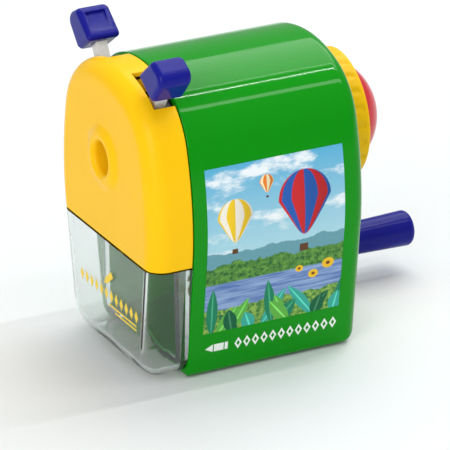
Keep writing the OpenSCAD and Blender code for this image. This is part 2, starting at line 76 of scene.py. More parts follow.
SHELL_FRONT_Y = cad("body_shell")[0][1]
SHELL_BASE_Z = cad("body_shell")[0][2]
BOSS_END_Y = cad("body_shell")[1][1]
REAR_Y = cad("point_dial")[0][1] - 0.3
SEAM_Y = cad("front_cover")[1][1] + 0.15
REAR_EDGE_R = 4.0
COVER_REAR_Y = cad("front_cover")[1][1]
COVER_Z = cad("front_cover")[0][2]
COVER_DEPTH = 12.0
FRONT_Y = SEAM_Y - COVER_DEPTH
FRONT_EDGE_R = 5.5
AXIS_Z = sum(cad("point_dial")[i][2] for i in (0, 1)) / 2

# ---- Sizes of the small features ----

HOLE_R = 4.5
BOSS_FOOT_R = 9.35
RING_H = FRONT_Y - cad("front_cover")[0][1]
SLOT_DEPTH = 6.4
TONGUE_X = 7.0
SLOT_END_X = 20.6
LEVER_LEAN = 27.0
LEVER_PIVOT_X = 10.7
STEM_L = 18.8
KNOB_CORNERS = ((-4.5, 0.0, 1.1), (5.0, -1.0, 1.8), (6.5, 9.7, 3.0), (-1.6, 9.7, 2.2))
SLEEVE_R = 6.5
DIAL_BOSS_R = 9.0
INNER_BOSS_L = 6.0
RUNNING = 0.05
GAP = 0.3
SCREW_BORE_R = 1.1
SCREW_POST_R = 2.8
COVER_CORNER_R = 0.4

side_centre = np.array([HALF_WIDTH - SIDE_R, BELLY_Z])
belly_centre = np.array([HALF_WIDTH - BELLY_R, BELLY_Z])
crown_centre = np.array([0.0, CROWN_Z - CROWN_R])


def shoulder_centre():
    """Where circles round the centres of the side and the crown cross."""
    span = np.linalg.norm(crown_centre - side_centre)
    to_side = SIDE_R - SHOULDER_R
    to_crown = CROWN_R - SHOULDER_R
    along = (to_side ** 2 - to_crown ** 2 + span ** 2) / (2 * span)
    off = math.sqrt(to_side ** 2 - along ** 2)
    way = (crown_centre - side_centre) / span
    return side_centre + along * way + off * np.array([-way[1], way[0]])


shoulder = shoulder_centre()
SIDE_END = math.atan2(*(shoulder - side_centre)[::-1])
SHOULDER_END = math.atan2(*(shoulder - crown_centre)[::-1])
LEAN = math.radians(SIDE_LEAN)


# ---- Outlines ----

def arc(centre, radius, start, end, count):
    """Points along an arc, angles in radians; the last point is left to the next stretch."""
    turns = np.linspace(start, end, count, endpoint=False)
    return np.stack([centre[0] + radius * np.cos(turns), centre[1] + radius * np.sin(turns)], 1)


def straight(a, b, count):
    """Points from a towards b; the last point is left to the next stretch."""
    return np.linspace(a, b, count, endpoint=False)


def lean_x(z, inset):
    """Half-width of the straight lower side at height z, moved in by inset."""
    foot_z = belly_centre[1] - (BELLY_R - inset) * math.sin(LEAN)
    return belly_centre[0] + (BELLY_R - inset) * math.cos(LEAN) - (foot_z - z) * math.tan(LEAN)


def body_loop(inset, base, corner):
    """The body's closed outline moved in by inset, as [x, z] from the bottom centre round by +X.
    It always has the same number of points, and the slots' ends always lie on the same ones."""
    corner_at = np.array([lean_x(base + corner, inset + corner), base + corner])
    lean_foot = corner_at + corner * np.array([math.cos(LEAN), -math.sin(LEAN)])
    lean_head = belly_centre + (BELLY_R - inset) * np.array([math.cos(LEAN), -math.sin(LEAN)])
    slot_turn = math.acos((SLOT_END_X - shoulder[0]) / (SHOULDER_R - inset))
    tongue_turn = math.acos(TONGUE_X / (CROWN_R - inset))
    half = np.concatenate([
        straight([0.0, base], [corner_at[0], base], 14),
        arc(corner_at, corner, -math.pi / 2, -LEAN, 8),
        straight(lean_foot, lean_head, 16),
        arc(belly_centre, BELLY_R - inset, -LEAN, 0.0, 10),
        arc(side_centre, SIDE_R - inset, 0.0, SIDE_END, 18),
        arc(shoulder, SHOULDER_R - inset, SIDE_END, slot_turn, 14),
        arc(shoulder, SHOULDER_R - inset, slot_turn, SHOULDER_END, 12),
        arc(crown_centre, CROWN_R - inset, SHOULDER_END, tongue_turn, 10),
        arc(crown_centre, CROWN_R - inset, tongue_turn, math.pi / 2, 8)])
    top = np.array([[0.0, crown_centre[1] + CROWN_R - inset]])
    other = half[:0:-1] * [-1.0, 1.0]
    return np.concatenate([half, top, other])


SLOT_FROM = 14 + 8 + 16 + 10 + 18 + 14
SLOT_TO = SLOT_FROM + 12 + 10


def at_y(loop, y):
    """A loop of [x, z] points placed at y."""
    return np.stack([loop[:, 0], np.full(len(loop), y), loop[:, 1]], 1)


def round_loop(like, radius, y):
    """A circle about the pencil axis, with a point in the direction of each point of another loop."""
    away = like[:, [0, 2]] - [0.0, AXIS_Z]
    away = away / np.linalg.norm(away, axis=1)[:, None]
    return at_y(away * radius + [0.0, AXIS_Z], y)


def between(a, b, count):
    """Loops spaced evenly between two others, which are left out."""
    return [a + (b - a) * (i + 1) / (count + 1) for i in range(count)]


def quarter(count):
    """Angles from 0 to a right angle, ends included."""
    return np.linspace(0.0, math.pi / 2, count)


# ---- Meshes ----

def make_piece(name, points, faces):
    """A mesh object from points in millimetres, with smooth shading except at sharp edges."""
    mesh = bpy.data.meshes.new(name)
    mesh.from_pydata([tuple(p) for p in np.asarray(points, float) * MM], [], faces)
    tidy = bmesh.new()
    tidy.from_mesh(mesh)
    bmesh.ops.remove_doubles(tidy, verts=tidy.verts, dist=1e-7)
    bmesh.ops.recalc_face_normals(tidy, faces=tidy.faces)
    tidy.to_mesh(mesh)
    tidy.free()
    piece = bpy.data.objects.new(name, mesh)
    bpy.context.scene.collection.objects.link(piece)
    shade(piece)
    return piece


def shade(piece, smooth_angle=35.0):
    """Smooth shading, with edges sharper than the angle left sharp."""
    piece.data.shade_smooth()
    piece.data.set_sharp_from_angle(angle=math.radians(smooth_angle))


def even_normals(piece):
    """Lets wide flat faces set the shading of the narrow rounded ones next to them."""
    weigh = piece.modifiers.new("even_normals", "WEIGHTED_NORMAL")
    weigh.keep_sharp = True
    weigh.weight = 80


def loft_faces(ring_count, n, wrap=False):
    """Four-sided faces between rings of n points each."""
    faces = []
    for r in range(ring_count if wrap else ring_count - 1):
        a = r * n
        b = ((r + 1) % ring_count) * n
        faces += [(a + i, a + (i + 1) % n, b + (i + 1) % n, b + i) for i in range(n)]
    return faces


def loft(name, rings, wrap=False):
    """A closed skin over rings; without wrap the first and last ring are closed by a flat face."""
    n = len(rings[0])
    faces = loft_faces(len(rings), n, wrap)
    if not wrap:
        faces += [tuple(range(n)), tuple(range((len(rings) - 1) * n, len(rings) * n))]
    return make_piece(name, np.concatenate(rings), faces)


def turned(name, profile, x=0.0, z=None, count=96, flute=None):
    """A solid turned about an axis along Y from [radius, y] points; ends at radius 0 are closed."""
    z = AXIS_Z if z is None else z
    turns = np.arange(count) * 2 * math.pi / count
    rings = []
    for radius, y in profile:
        r = np.full(count, float(radius))
        if flute is not None:
            r = r - flute(turns, y, radius)
        rings.append(np.stack([x + r * np.sin(turns), np.full(count, y), z + r * np.cos(turns)], 1))
    closed = profile[0][0] > 1e-6 and profile[-1][0] > 1e-6
    return loft(name, rings, wrap=closed)


def rounded(corner_r, corner_y, radius, start, end, count=7):
    """Points of a rounding in a turned profile, as [radius, y], round a centre; angles in degrees."""
    turns = np.radians(np.linspace(start, end, count))
    return [[corner_r + radius * math.cos(t), corner_y + radius * math.sin(t)] for t in turns]


def combine(piece, tool, operation="DIFFERENCE"):
    """Cuts a tool out of a piece, or joins it to the piece, and removes it."""
    step = piece.modifiers.new("combine", "BOOLEAN")
    step.operation = operation
    step.solver = "EXACT"
    step.object = tool
    bpy.context.view_layer.update()
    graph = bpy.context.evaluated_depsgraph_get()
    made = bpy.data.meshes.new_from_object(piece.evaluated_get(graph))
    piece.modifiers.clear()
    piece.data = made
    bpy.data.objects.remove(tool)


def add_to(piece, *parts):
    """Adds the meshes of separate solids to a piece as they are."""
    whole = bmesh.new()
    whole.from_mesh(piece.data)
    for part in parts:
        whole.from_mesh(part.data)
        bpy.data.objects.remove(part)
    whole.to_mesh(piece.data)
    whole.free()


def block(name, low, high, edge=0.0, segments=3):
    """A box between two corners, with its edges rounded."""
    low = np.array(low, float)
    high = np.array(high, float)
    points = [[(low, high)[i][0], (low, high)[j][1], (low, high)[k][2]]
              for i in (0, 1) for j in (0, 1) for k in (0, 1)]
    faces = [(0, 1, 3, 2), (4, 6, 7, 5), (0, 4, 5, 1), (2, 3, 7, 6), (0, 2, 6, 4), (1, 5, 7, 3)]
    piece = make_piece(name, points, faces)
    if edge:
        soften(piece, edge, segments)
    return piece


def soften(piece, width, segments=3, angle=40.0):
    """Rounds every edge of a piece that is sharper than the angle; width in millimetres."""
    work = bmesh.new()
    work.from_mesh(piece.data)
    limit = math.radians(angle)
    sharp = [e for e in work.edges if len(e.link_faces) == 2 and e.calc_face_angle() > limit]
    bmesh.ops.bevel(work, geom=sharp, offset=width * MM, segments=segments, profile=0.5,
                    affect="EDGES", clamp_overlap=True)
    work.to_mesh(piece.data)
    work.free()
    shade(piece)


# ---- Node groups: effects that several materials share ----

def new_group(name, inputs, outputs):
    """An empty shader node group with named sockets; returns it with its input and output nodes."""
    group = bpy.data.node_groups.new(name, "ShaderNodeTree")
    for label, kind, value in inputs:
        socket = group.interface.new_socket(label, in_out="INPUT", socket_type=kind)
        if value is not None:
            socket.default_value = value
    for label, kind in outputs:
        group.interface.new_socket(label, in_out="OUTPUT", socket_type=kind)
    return group, group.nodes.new("NodeGroupInput"), group.nodes.new("NodeGroupOutput")


def math_node(tree, operation, a, b=None, clamp=False):
    """A Math node fed by sockets or plain numbers; returns its output."""
    node = tree.nodes.new("ShaderNodeMath")
    node.operation = operation
    node.use_clamp = clamp
    for socket, value in zip(node.inputs, (a, b)):
        if value is None:
            continue
        if isinstance(value, (int, float)):
            socket.default_value = value
        else:
            tree.links.new(value, socket)
    return node.outputs[0]


def mix_colour(tree, factor, a, b, blend="MIX"):
    """A colour mix fed by sockets or plain values; returns its output."""
    node = tree.nodes.new("ShaderNodeMix")
    node.data_type = "RGBA"
    node.blend_type = blend
    for socket, value in ((node.inputs[0], factor), (node.inputs[6], a), (node.inputs[7], b)):
        if isinstance(value, (int, float)):
            socket.default_value = value
        elif isinstance(value, (tuple, list)):
            socket.default_value = (*value[:3], 1.0)
        else:
            tree.links.new(value, socket)
    return node.outputs[2]


def noise_node(tree, vector, scale, detail=2.0, roughness=0.5):
    """A noise texture; returns its value."""
    node = tree.nodes.new("ShaderNodeTexNoise")
    node.inputs["Detail"].default_value = detail
    node.inputs["Roughness"].default_value = roughness
    tree.links.new(vector, node.inputs["Vector"])
    if isinstance(scale, (int, float)):
        node.inputs["Scale"].default_value = scale
    else:
        tree.links.new(scale, node.inputs["Scale"])
    return node.outputs[0]


def stretch_node(tree, vector, scale):
    """Scales a coordinate by three numbers."""
    node = tree.nodes.new("ShaderNodeMapping")
    node.inputs["Scale"].default_value = scale
    tree.links.new(vector, node.inputs["Vector"])
    return node.outputs[0]


def range_node(tree, value, low, high, to_low=0.0, to_high=1.0, smooth=False):
    """Maps a value from one range to another, clamped."""
    node = tree.nodes.new("ShaderNodeMapRange")
    if smooth:
        node.interpolation_type = "SMOOTHSTEP"
    tree.links.new(value, node.inputs[0])
    for i, number in enumerate((low, high, to_low, to_high)):
        if isinstance(number, (int, float)):
            node.inputs[i + 1].default_value = number
        else:
            tree.links.new(number, node.inputs[i + 1])
    return node.outputs[0]


def moulded_group():
    """The skin of injection-moulded plastic: faint flow marks, fine pitting, handling marks and dust."""
    group, given, out = new_group(
        "moulded_skin",
        [("Position", "NodeSocketVector", None), ("Colour", "NodeSocketColor", (0.5, 0.5, 0.5, 1.0)),
         ("Roughness", "NodeSocketFloat", 0.2), ("Flow", "NodeSocketFloat", 0.06),
         ("Grain", "NodeSocketFloat", 2200.0), ("Marks", "NodeSocketFloat", 0.1),
         ("Wave", "NodeSocketFloat", 0.3)],
        [("Colour", "NodeSocketColor"), ("Roughness", "NodeSocketFloat"), ("Height", "NodeSocketFloat")])
    maths = partial(math_node, group)
    where = given.outputs["Position"]
    flow = noise_node(group, stretch_node(group, where, (1.0, 0.45, 1.0)), 42.0, 3.0, 0.55)
    flow_share = maths("MULTIPLY", maths("SUBTRACT", flow, 0.5), given.outputs["Flow"])
    bright = maths("ADD", flow_share, 1.0)
    shade_node = group.nodes.new("ShaderNodeHueSaturation")
    group.links.new(bright, shade_node.inputs["Value"])
    group.links.new(given.outputs["Colour"], shade_node.inputs["Color"])
    grain = noise_node(group, where, given.outputs["Grain"], 2.0, 0.5)
    scratch = noise_node(group, stretch_node(group, where, (260.0, 30.0, 900.0)), 1.0, 2.0, 0.6)
    scratch_mask = range_node(group, scratch, 0.6, 0.78)
    smear = range_node(group, noise_node(group, where, 95.0, 4.0, 0.6), 0.48, 0.75)
    marks = maths("MULTIPLY", maths("ADD", scratch_mask, smear), given.outputs["Marks"])
    rough = maths("ADD", given.outputs["Roughness"], marks)
    rough = maths("ADD", rough, maths("MULTIPLY", grain, 0.03), clamp=True)
    wave = maths("MULTIPLY", noise_node(group, where, 160.0, 2.0, 0.4), given.outputs["Wave"])
    height = maths("ADD", wave, maths("MULTIPLY", grain, 0.06))
    height = maths("SUBTRACT", height, maths("MULTIPLY", scratch_mask, 0.03))
    group.links.new(shade_node.outputs["Color"], out.inputs["Colour"])
    group.links.new(rough, out.inputs["Roughness"])
    group.links.new(height, out.inputs["Height"])
    return group


def metal_group():
    """Drawn or ground steel: fine lines one way, a little staining."""
    group, given, out = new_group(
        "drawn_steel",
        [("Position", "NodeSocketVector", None), ("Colour", "NodeSocketColor", (0.6, 0.6, 0.6, 1.0)),
         ("Roughness", "NodeSocketFloat", 0.25), ("Stain", "NodeSocketFloat", 0.25)],
        [("Colour", "NodeSocketColor"), ("Roughness", "NodeSocketFloat"), ("Height", "NodeSocketFloat")])
    maths = partial(math_node, group)
    where = given.outputs["Position"]
    lines = noise_node(group, stretch_node(group, where, (4000.0, 90.0, 4000.0)), 1.0, 2.0, 0.6)
    stain = range_node(group, noise_node(group, where, 380.0, 4.0, 0.65), 0.45, 0.8)
    stain = maths("MULTIPLY", stain, given.outputs["Stain"])
    tint = mix_colour(group, stain, given.outputs["Colour"], (0.19, 0.165, 0.14))
    rough = maths("ADD", given.outputs["Roughness"], maths("MULTIPLY", lines, 0.15))
    rough = maths("ADD", rough, maths("MULTIPLY", stain, 0.3), clamp=True)
    group.links.new(tint, out.inputs["Colour"])
    group.links.new(rough, out.inputs["Roughness"])
    group.links.new(lines, out.inputs["Height"])
    return group


def spot_group():
    """A soft-edged ellipse on a flat picture."""
    group, given, out = new_group(
        "spot",
        [("U", "NodeSocketFloat", 0.0), ("V", "NodeSocketFloat", 0.0), ("Centre U", "NodeSocketFloat", 0.5),
         ("Centre V", "NodeSocketFloat", 0.5), ("Width", "NodeSocketFloat", 0.1),
         ("Height", "NodeSocketFloat", 0.1), ("Soft", "NodeSocketFloat", 0.05)],
        [("Mask", "NodeSocketFloat")])
    maths = partial(math_node, group)
    across = maths("SUBTRACT", given.outputs["U"], given.outputs["Centre U"])
    above = maths("SUBTRACT", given.outputs["V"], given.outputs["Centre V"])
    across = maths("POWER", maths("DIVIDE", across, given.outputs["Width"]), 2.0)
    above = maths("POWER", maths("DIVIDE", above, given.outputs["Height"]), 2.0)
    far = maths("SQRT", maths("ADD", across, above))
    low = maths("SUBTRACT", 1.0, given.outputs["Soft"])
    group.links.new(range_node(group, far, low, 1.0, 1.0, 0.0, smooth=True), out.inputs["Mask"])
    return group


def leaf_group():
    """A pointed leaf growing from a foot at an angle, with its midrib."""
    group, given, out = new_group(
        "leaf",
        [("U", "NodeSocketFloat", 0.0), ("V", "NodeSocketFloat", 0.0), ("Foot U", "NodeSocketFloat", 0.5),
         ("Foot V", "NodeSocketFloat", 0.0), ("Length", "NodeSocketFloat", 0.2),
         ("Width", "NodeSocketFloat", 0.05), ("Turn", "NodeSocketFloat", 1.5)],
        [("Mask", "NodeSocketFloat"), ("Rib", "NodeSocketFloat")])
    maths = partial(math_node, group)
    across = maths("SUBTRACT", given.outputs["U"], given.outputs["Foot U"])
    above = maths("SUBTRACT", given.outputs["V"], given.outputs["Foot V"])
    sine = maths("SINE", given.outputs["Turn"])
    cosine = maths("COSINE", given.outputs["Turn"])
    along = maths("ADD", maths("MULTIPLY", across, cosine),
                      maths("MULTIPLY", above, sine))
    along = maths("DIVIDE", along, given.outputs["Length"])
    aside = maths("SUBTRACT", maths("MULTIPLY", above, cosine),
                      maths("MULTIPLY", across, sine))
    aside = maths("ABSOLUTE", aside)
    swell = maths("MULTIPLY", along, maths("SUBTRACT", 1.0, along))
    half = maths("MULTIPLY", maths("MULTIPLY", swell, 4.0), given.outputs["Width"])
    inside = maths("SUBTRACT", half, aside)
    group.links.new(range_node(group, inside, 0.0, 0.003), out.inputs["Mask"])
    thin = maths("SUBTRACT", maths("MULTIPLY", half, 0.12), aside)
    group.links.new(range_node(group, thin, -0.002, 0.001), out.inputs["Rib"])
    return group


def balloon_group():
    """A striped hot-air balloon with a basket."""
    group, given, out = new_group(
        "balloon",
        [("U", "NodeSocketFloat", 0.0), ("V", "NodeSocketFloat", 0.0), ("Centre U", "NodeSocketFloat", 0.5),
         ("Centre V", "NodeSocketFloat", 0.5), ("Size", "NodeSocketFloat", 0.1)],
        [("Envelope", "NodeSocketFloat"), ("Stripe", "NodeSocketFloat"), ("Shade", "NodeSocketFloat"),
         ("Basket", "NodeSocketFloat")])
    maths = partial(math_node, group)
    across = maths("SUBTRACT", given.outputs["U"], given.outputs["Centre U"])
    across = maths("DIVIDE", across, given.outputs["Size"])
    above = maths("SUBTRACT", given.outputs["V"], given.outputs["Centre V"])
    above = maths("DIVIDE", above, given.outputs["Size"])
    below = maths("MAXIMUM", maths("MULTIPLY", above, -1.0), 0.0)
    below = maths("MINIMUM", below, 2.0)
    narrowing = maths("ADD", maths("MULTIPLY", below, 0.6), 1.0)
    pinch = maths("MULTIPLY", across, narrowing)
    tall = maths("MULTIPLY", above, maths("SUBTRACT", 1.0, maths("MULTIPLY", below, 0.2)))
    height = maths("POWER", tall, 2.0)
    far = maths("SQRT", maths("ADD", maths("POWER", pinch, 2.0), height))
    group.links.new(range_node(group, far, 0.97, 1.0, 1.0, 0.0), out.inputs["Envelope"])
    girth = maths("SQRT", maths("MAXIMUM", maths("SUBTRACT", 1.0, height), 0.02))
    turn = maths("ARCSINE", maths("DIVIDE", pinch, girth))
    wave = maths("SINE", maths("MULTIPLY", turn, 6.0))
    group.links.new(range_node(group, wave, -0.12, 0.12), out.inputs["Stripe"])
    group.links.new(range_node(group, across, -0.3, 1.1, 1.0, 0.62), out.inputs["Shade"])
    wide = maths("LESS_THAN", maths("ABSOLUTE", across), 0.16)
    low = maths("LESS_THAN", maths("ABSOLUTE", maths("ADD", above, 1.85)), 0.14)
    group.links.new(maths("MULTIPLY", wide, low), out.inputs["Basket"])
    return group


def side_coordinates_group():
    """Distance from the left edge and from the foot of a mark on either side of the body."""
    group, given, out = new_group(
        "side_coordinates",
        [("Position", "NodeSocketVector", None), ("Normal", "NodeSocketVector", None),
         ("Near Y", "NodeSocketFloat", 0.0), ("Length", "NodeSocketFloat", 1.0),
         ("Foot Z", "NodeSocketFloat", 0.0), ("Unit", "NodeSocketFloat", 1.0)],
        [("U", "NodeSocketFloat"), ("V", "NodeSocketFloat"), ("Side", "NodeSocketFloat")])
    maths = partial(math_node, group)
    split = group.nodes.new("ShaderNodeSeparateXYZ")
    group.links.new(given.outputs["Position"], split.inputs[0])
    along = maths("SUBTRACT", split.outputs[1], given.outputs["Near Y"])
    other = maths("SUBTRACT", given.outputs["Length"], along)
    right = maths("GREATER_THAN", split.outputs[0], 0.0)
    chosen = range_node(group, right, 0.0, 1.0, other, along)
    group.links.new(maths("DIVIDE", chosen, given.outputs["Unit"]), out.inputs["U"])
    rise = maths("SUBTRACT", split.outputs[2], given.outputs["Foot Z"])
    group.links.new(maths("DIVIDE", rise, given.outputs["Unit"]), out.inputs["V"])
    facing = group.nodes.new("ShaderNodeSeparateXYZ")
    group.links.new(given.outputs["Normal"], facing.inputs[0])
    outward = maths("MULTIPLY", facing.outputs[0], split.outputs[0])
    side = maths("GREATER_THAN", maths("ABSOLUTE", split.outputs[0]), 0.02)
    side = maths("MULTIPLY", side, maths("GREATER_THAN", outward, 0.0))
    group.links.new(side, out.inputs["Side"])
    return group


def print_line_group():
    """A pencil pictogram and a row of diamonds, as a mask over U and V in millimetres."""
    group, given, out = new_group(
        "print_line",
        [("U", "NodeSocketFloat", 0.0), ("V", "NodeSocketFloat", 0.0), ("Side", "NodeSocketFloat", 1.0)],
        [("Mask", "NodeSocketFloat")])
    maths = partial(math_node, group)
    u = given.outputs["U"]
    off = maths("ABSOLUTE", given.outputs["V"])
    row_start = 9.0
    pitch = 2.6
    row_end = row_start + 12 * pitch
    steps = maths("DIVIDE", maths("SUBTRACT", u, row_start), pitch)
    cell = maths("ABSOLUTE", maths("SUBTRACT", maths("FRACT", steps), 0.5))
    far = maths("ADD", maths("MULTIPLY", cell, 2.3), maths("MULTIPLY", off, 0.55))
    within = range_node(group, far, 0.94, 1.0, 1.0, 0.0)
    diamond = maths("MULTIPLY", within, range_node(group, far, 0.42, 0.5))
    in_row = maths("MULTIPLY", maths("GREATER_THAN", u, row_start), maths("LESS_THAN", u, row_end))
    row = maths("MULTIPLY", diamond, in_row)
    point_u, body_end, half_width = 0.4, 7.2, 1.1
    taper = maths("MULTIPLY", maths("SUBTRACT", u, point_u), 0.5)
    half = maths("MINIMUM", taper, half_width)
    body = maths("MULTIPLY", maths("LESS_THAN", off, half), maths("LESS_THAN", u, body_end))
    gaps = [maths("LESS_THAN", maths("ABSOLUTE", maths("SUBTRACT", u, at)), 0.16) for at in (2.9, 6.1)]
    body = maths("SUBTRACT", body, maths("MAXIMUM", *gaps), clamp=True)
    whole = maths("MAXIMUM", row, body)
    group.links.new(maths("MULTIPLY", whole, given.outputs["Side"]), out.inputs["Mask"])
    return group


SPOT = spot_group()
LEAF = leaf_group()
BALLOON = balloon_group()
SIDE = side_coordinates_group()
PRINT = print_line_group()
MOULDED = moulded_group()
STEEL = metal_group()


def linear(red, green, blue):
    """A screen colour of 0 to 255 as a linear one."""
    parts = [c / 255 for c in (red, green, blue)]
    return tuple(p / 12.92 if p <= 0.04045 else ((p + 0.055) / 1.055) ** 2.4 for p in parts)


def new_material(name):
    """A material with a Principled shader; returns the material, its tree and the shader."""
    material = bpy.data.materials.new(name)
    material.use_nodes = True
    tree = material.node_tree
    shader = next(n for n in tree.nodes if n.type == "BSDF_PRINCIPLED")
    return material, tree, shader


def own_position(tree):
    """The object's own coordinates, in metres."""
    return tree.nodes.new("ShaderNodeTexCoord").outputs["Object"]


def lay_skin(tree, shader, group, colour, bump, **values):
    """Puts a shared skin group in a material and joins it to the shader."""
    skin = tree.nodes.new("ShaderNodeGroup")
    skin.node_tree = group
    tree.links.new(own_position(tree), skin.inputs["Position"])
    if isinstance(colour, tuple):
        skin.inputs["Colour"].default_value = (*colour, 1.0)
    else:
        tree.links.new(colour, skin.inputs["Colour"])
    for label, value in values.items():
        skin.inputs[label].default_value = value
    raise_node = tree.nodes.new("ShaderNodeBump")
    raise_node.inputs["Strength"].default_value = bump
    raise_node.inputs["Distance"].default_value = 0.0001
    tree.links.new(skin.outputs["Height"], raise_node.inputs["Height"])
    tree.links.new(skin.outputs["Colour"], shader.inputs["Base Color"])
    tree.links.new(skin.outputs["Roughness"], shader.inputs["Roughness"])
    tree.links.new(raise_node.outputs["Normal"], shader.inputs["Normal"])


def gloss_plastic(name, colour, roughness, bump=0.25, specular=0.4, **values):
    """Glossy moulded plastic."""
    material, tree, shader = new_material(name)
    lay_skin(tree, shader, MOULDED, colour, bump, Roughness=roughness, **values)
    shader.inputs["Specular IOR Level"].default_value = specular
    return material


def steel(name, colour, roughness, stain):
    """Bare or plated steel."""
    material, tree, shader = new_material(name)
    lay_skin(tree, shader, STEEL, colour, 0.1, Roughness=roughness, Stain=stain)
    shader.inputs["Metallic"].default_value = 1.0
    return material


def clear_plastic():
    """Clear polystyrene that lets light through to what is behind it, with faint handling marks."""
    material, tree, shader = new_material("clear_plastic")
    lay_skin(tree, shader, MOULDED, (0.96, 0.975, 0.97), 0.05, Roughness=0.012, Flow=0.0, Marks=0.02,
             Wave=0.4)
    shader.inputs["Transmission Weight"].default_value = 1.0
    shader.inputs["IOR"].default_value = 1.5
    passing = tree.nodes.new("ShaderNodeBsdfTransparent")
    passing.inputs["Color"].default_value = (0.9, 0.92, 0.91, 1.0)
    path = tree.nodes.new("ShaderNodeLightPath")
    either = tree.nodes.new("ShaderNodeMixShader")
    tree.links.new(path.outputs["Is Shadow Ray"], either.inputs[0])
    tree.links.new(shader.outputs[0], either.inputs[1])
    tree.links.new(passing.outputs[0], either.inputs[2])
    ending = next(n for n in tree.nodes if n.type == "OUTPUT_MATERIAL")
    tree.links.new(either.outputs[0], ending.inputs["Surface"])
    depth = tree.nodes.new("ShaderNodeVolumeAbsorption")
    depth.inputs["Color"].default_value = (0.62, 0.7, 0.67, 1.0)
    depth.inputs["Density"].default_value = 90.0
    tree.links.new(depth.outputs[0], ending.inputs["Volume"])
    return material


def use(tree, group, **values):
    """Places a node group in a tree, with sockets or plain numbers as its inputs."""
    node = tree.nodes.new("ShaderNodeGroup")
    node.node_tree = group
    for label, value in values.items():
        socket = node.inputs[label.replace("_", " ")]
        if isinstance(value, (int, float)):
            socket.default_value = value
        else:
            tree.links.new(value, socket)
    return node


def side_coordinates(tree, near_y, length, foot_z, unit):
    """Sockets U, V and Side of a mark on the body's sides; all values in millimetres."""
    node = use(tree, SIDE, Near_Y=near_y * MM, Length=length * MM, Foot_Z=foot_z * MM, Unit=unit * MM)
    tree.links.new(own_position(tree), node.inputs["Position"])
    tree.links.new(tree.nodes.new("ShaderNodeTexCoord").outputs["Normal"], node.inputs["Normal"])
    return node.outputs["U"], node.outputs["V"], node.outputs["Side"]


def picture_vector(tree, u, v, seed=0.0):
    """A texture coordinate from the picture's two directions."""
    node = tree.nodes.new("ShaderNodeCombineXYZ")
    tree.links.new(u, node.inputs[0])
    tree.links.new(v, node.inputs[1])
    node.inputs[2].default_value = seed
    return node.outputs[0]


def ridge(tree, u, v, height, rise, scale, seed):
    """A mask below an uneven skyline."""
    flat = math_node(tree, "MULTIPLY", v, 0.15)
    bumps = noise_node(tree, picture_vector(tree, u, flat, seed), scale, 4.0, 0.6)
    top = math_node(tree, "ADD", math_node(tree, "MULTIPLY", bumps, rise), height - rise / 2)
    return range_node(tree, math_node(tree, "SUBTRACT", top, v), 0.0, 0.006)


def paint_balloon(tree, colour, u, v, centre, size, first, second):
    """Adds a striped balloon to the picture."""
    node = use(tree, BALLOON, U=u, V=v, Centre_U=centre[0], Centre_V=centre[1], Size=size)
    cloth = mix_colour(tree, node.outputs["Stripe"], first, second)
    grey = tree.nodes.new("ShaderNodeCombineColor")
    for i in range(3):
        tree.links.new(node.outputs["Shade"], grey.inputs[i])
    cloth = mix_colour(tree, 1.0, cloth, grey.outputs[0], blend="MULTIPLY")
    colour = mix_colour(tree, node.outputs["Envelope"], colour, cloth)
    return mix_colour(tree, node.outputs["Basket"], colour, linear(96, 62, 34))


def paint_leaves(tree, colour, u, v):
    """Adds a row of broad leaves along the foot of the picture."""
    tones = [linear(28, 128, 92), linear(96, 176, 70), linear(16, 96, 60), linear(58, 168, 150)]
    for row, (count, length) in enumerate(((9, 0.25), (7, 0.17))):
        for i in range(count):
            sway = math.sin(i * 2.4 + row)
            foot_u = (i + 0.5) / count * 0.86 + 0.02 * sway
            node = use(tree, LEAF, U=u, V=v, Foot_U=foot_u, Foot_V=-0.03, Turn=math.pi / 2 - 0.75 * sway,
                       Length=length * (1 + 0.25 * math.cos(i * 1.7)), Width=0.036 + 0.008 * row)
            tone = tones[(i + row) % len(tones)]
            rib = tuple(min(1.0, c * 1.8 + 0.05) for c in tone)
            leaf = mix_colour(tree, node.outputs["Rib"], tone, rib)
            colour = mix_colour(tree, node.outputs["Mask"], colour, leaf)
    return colour


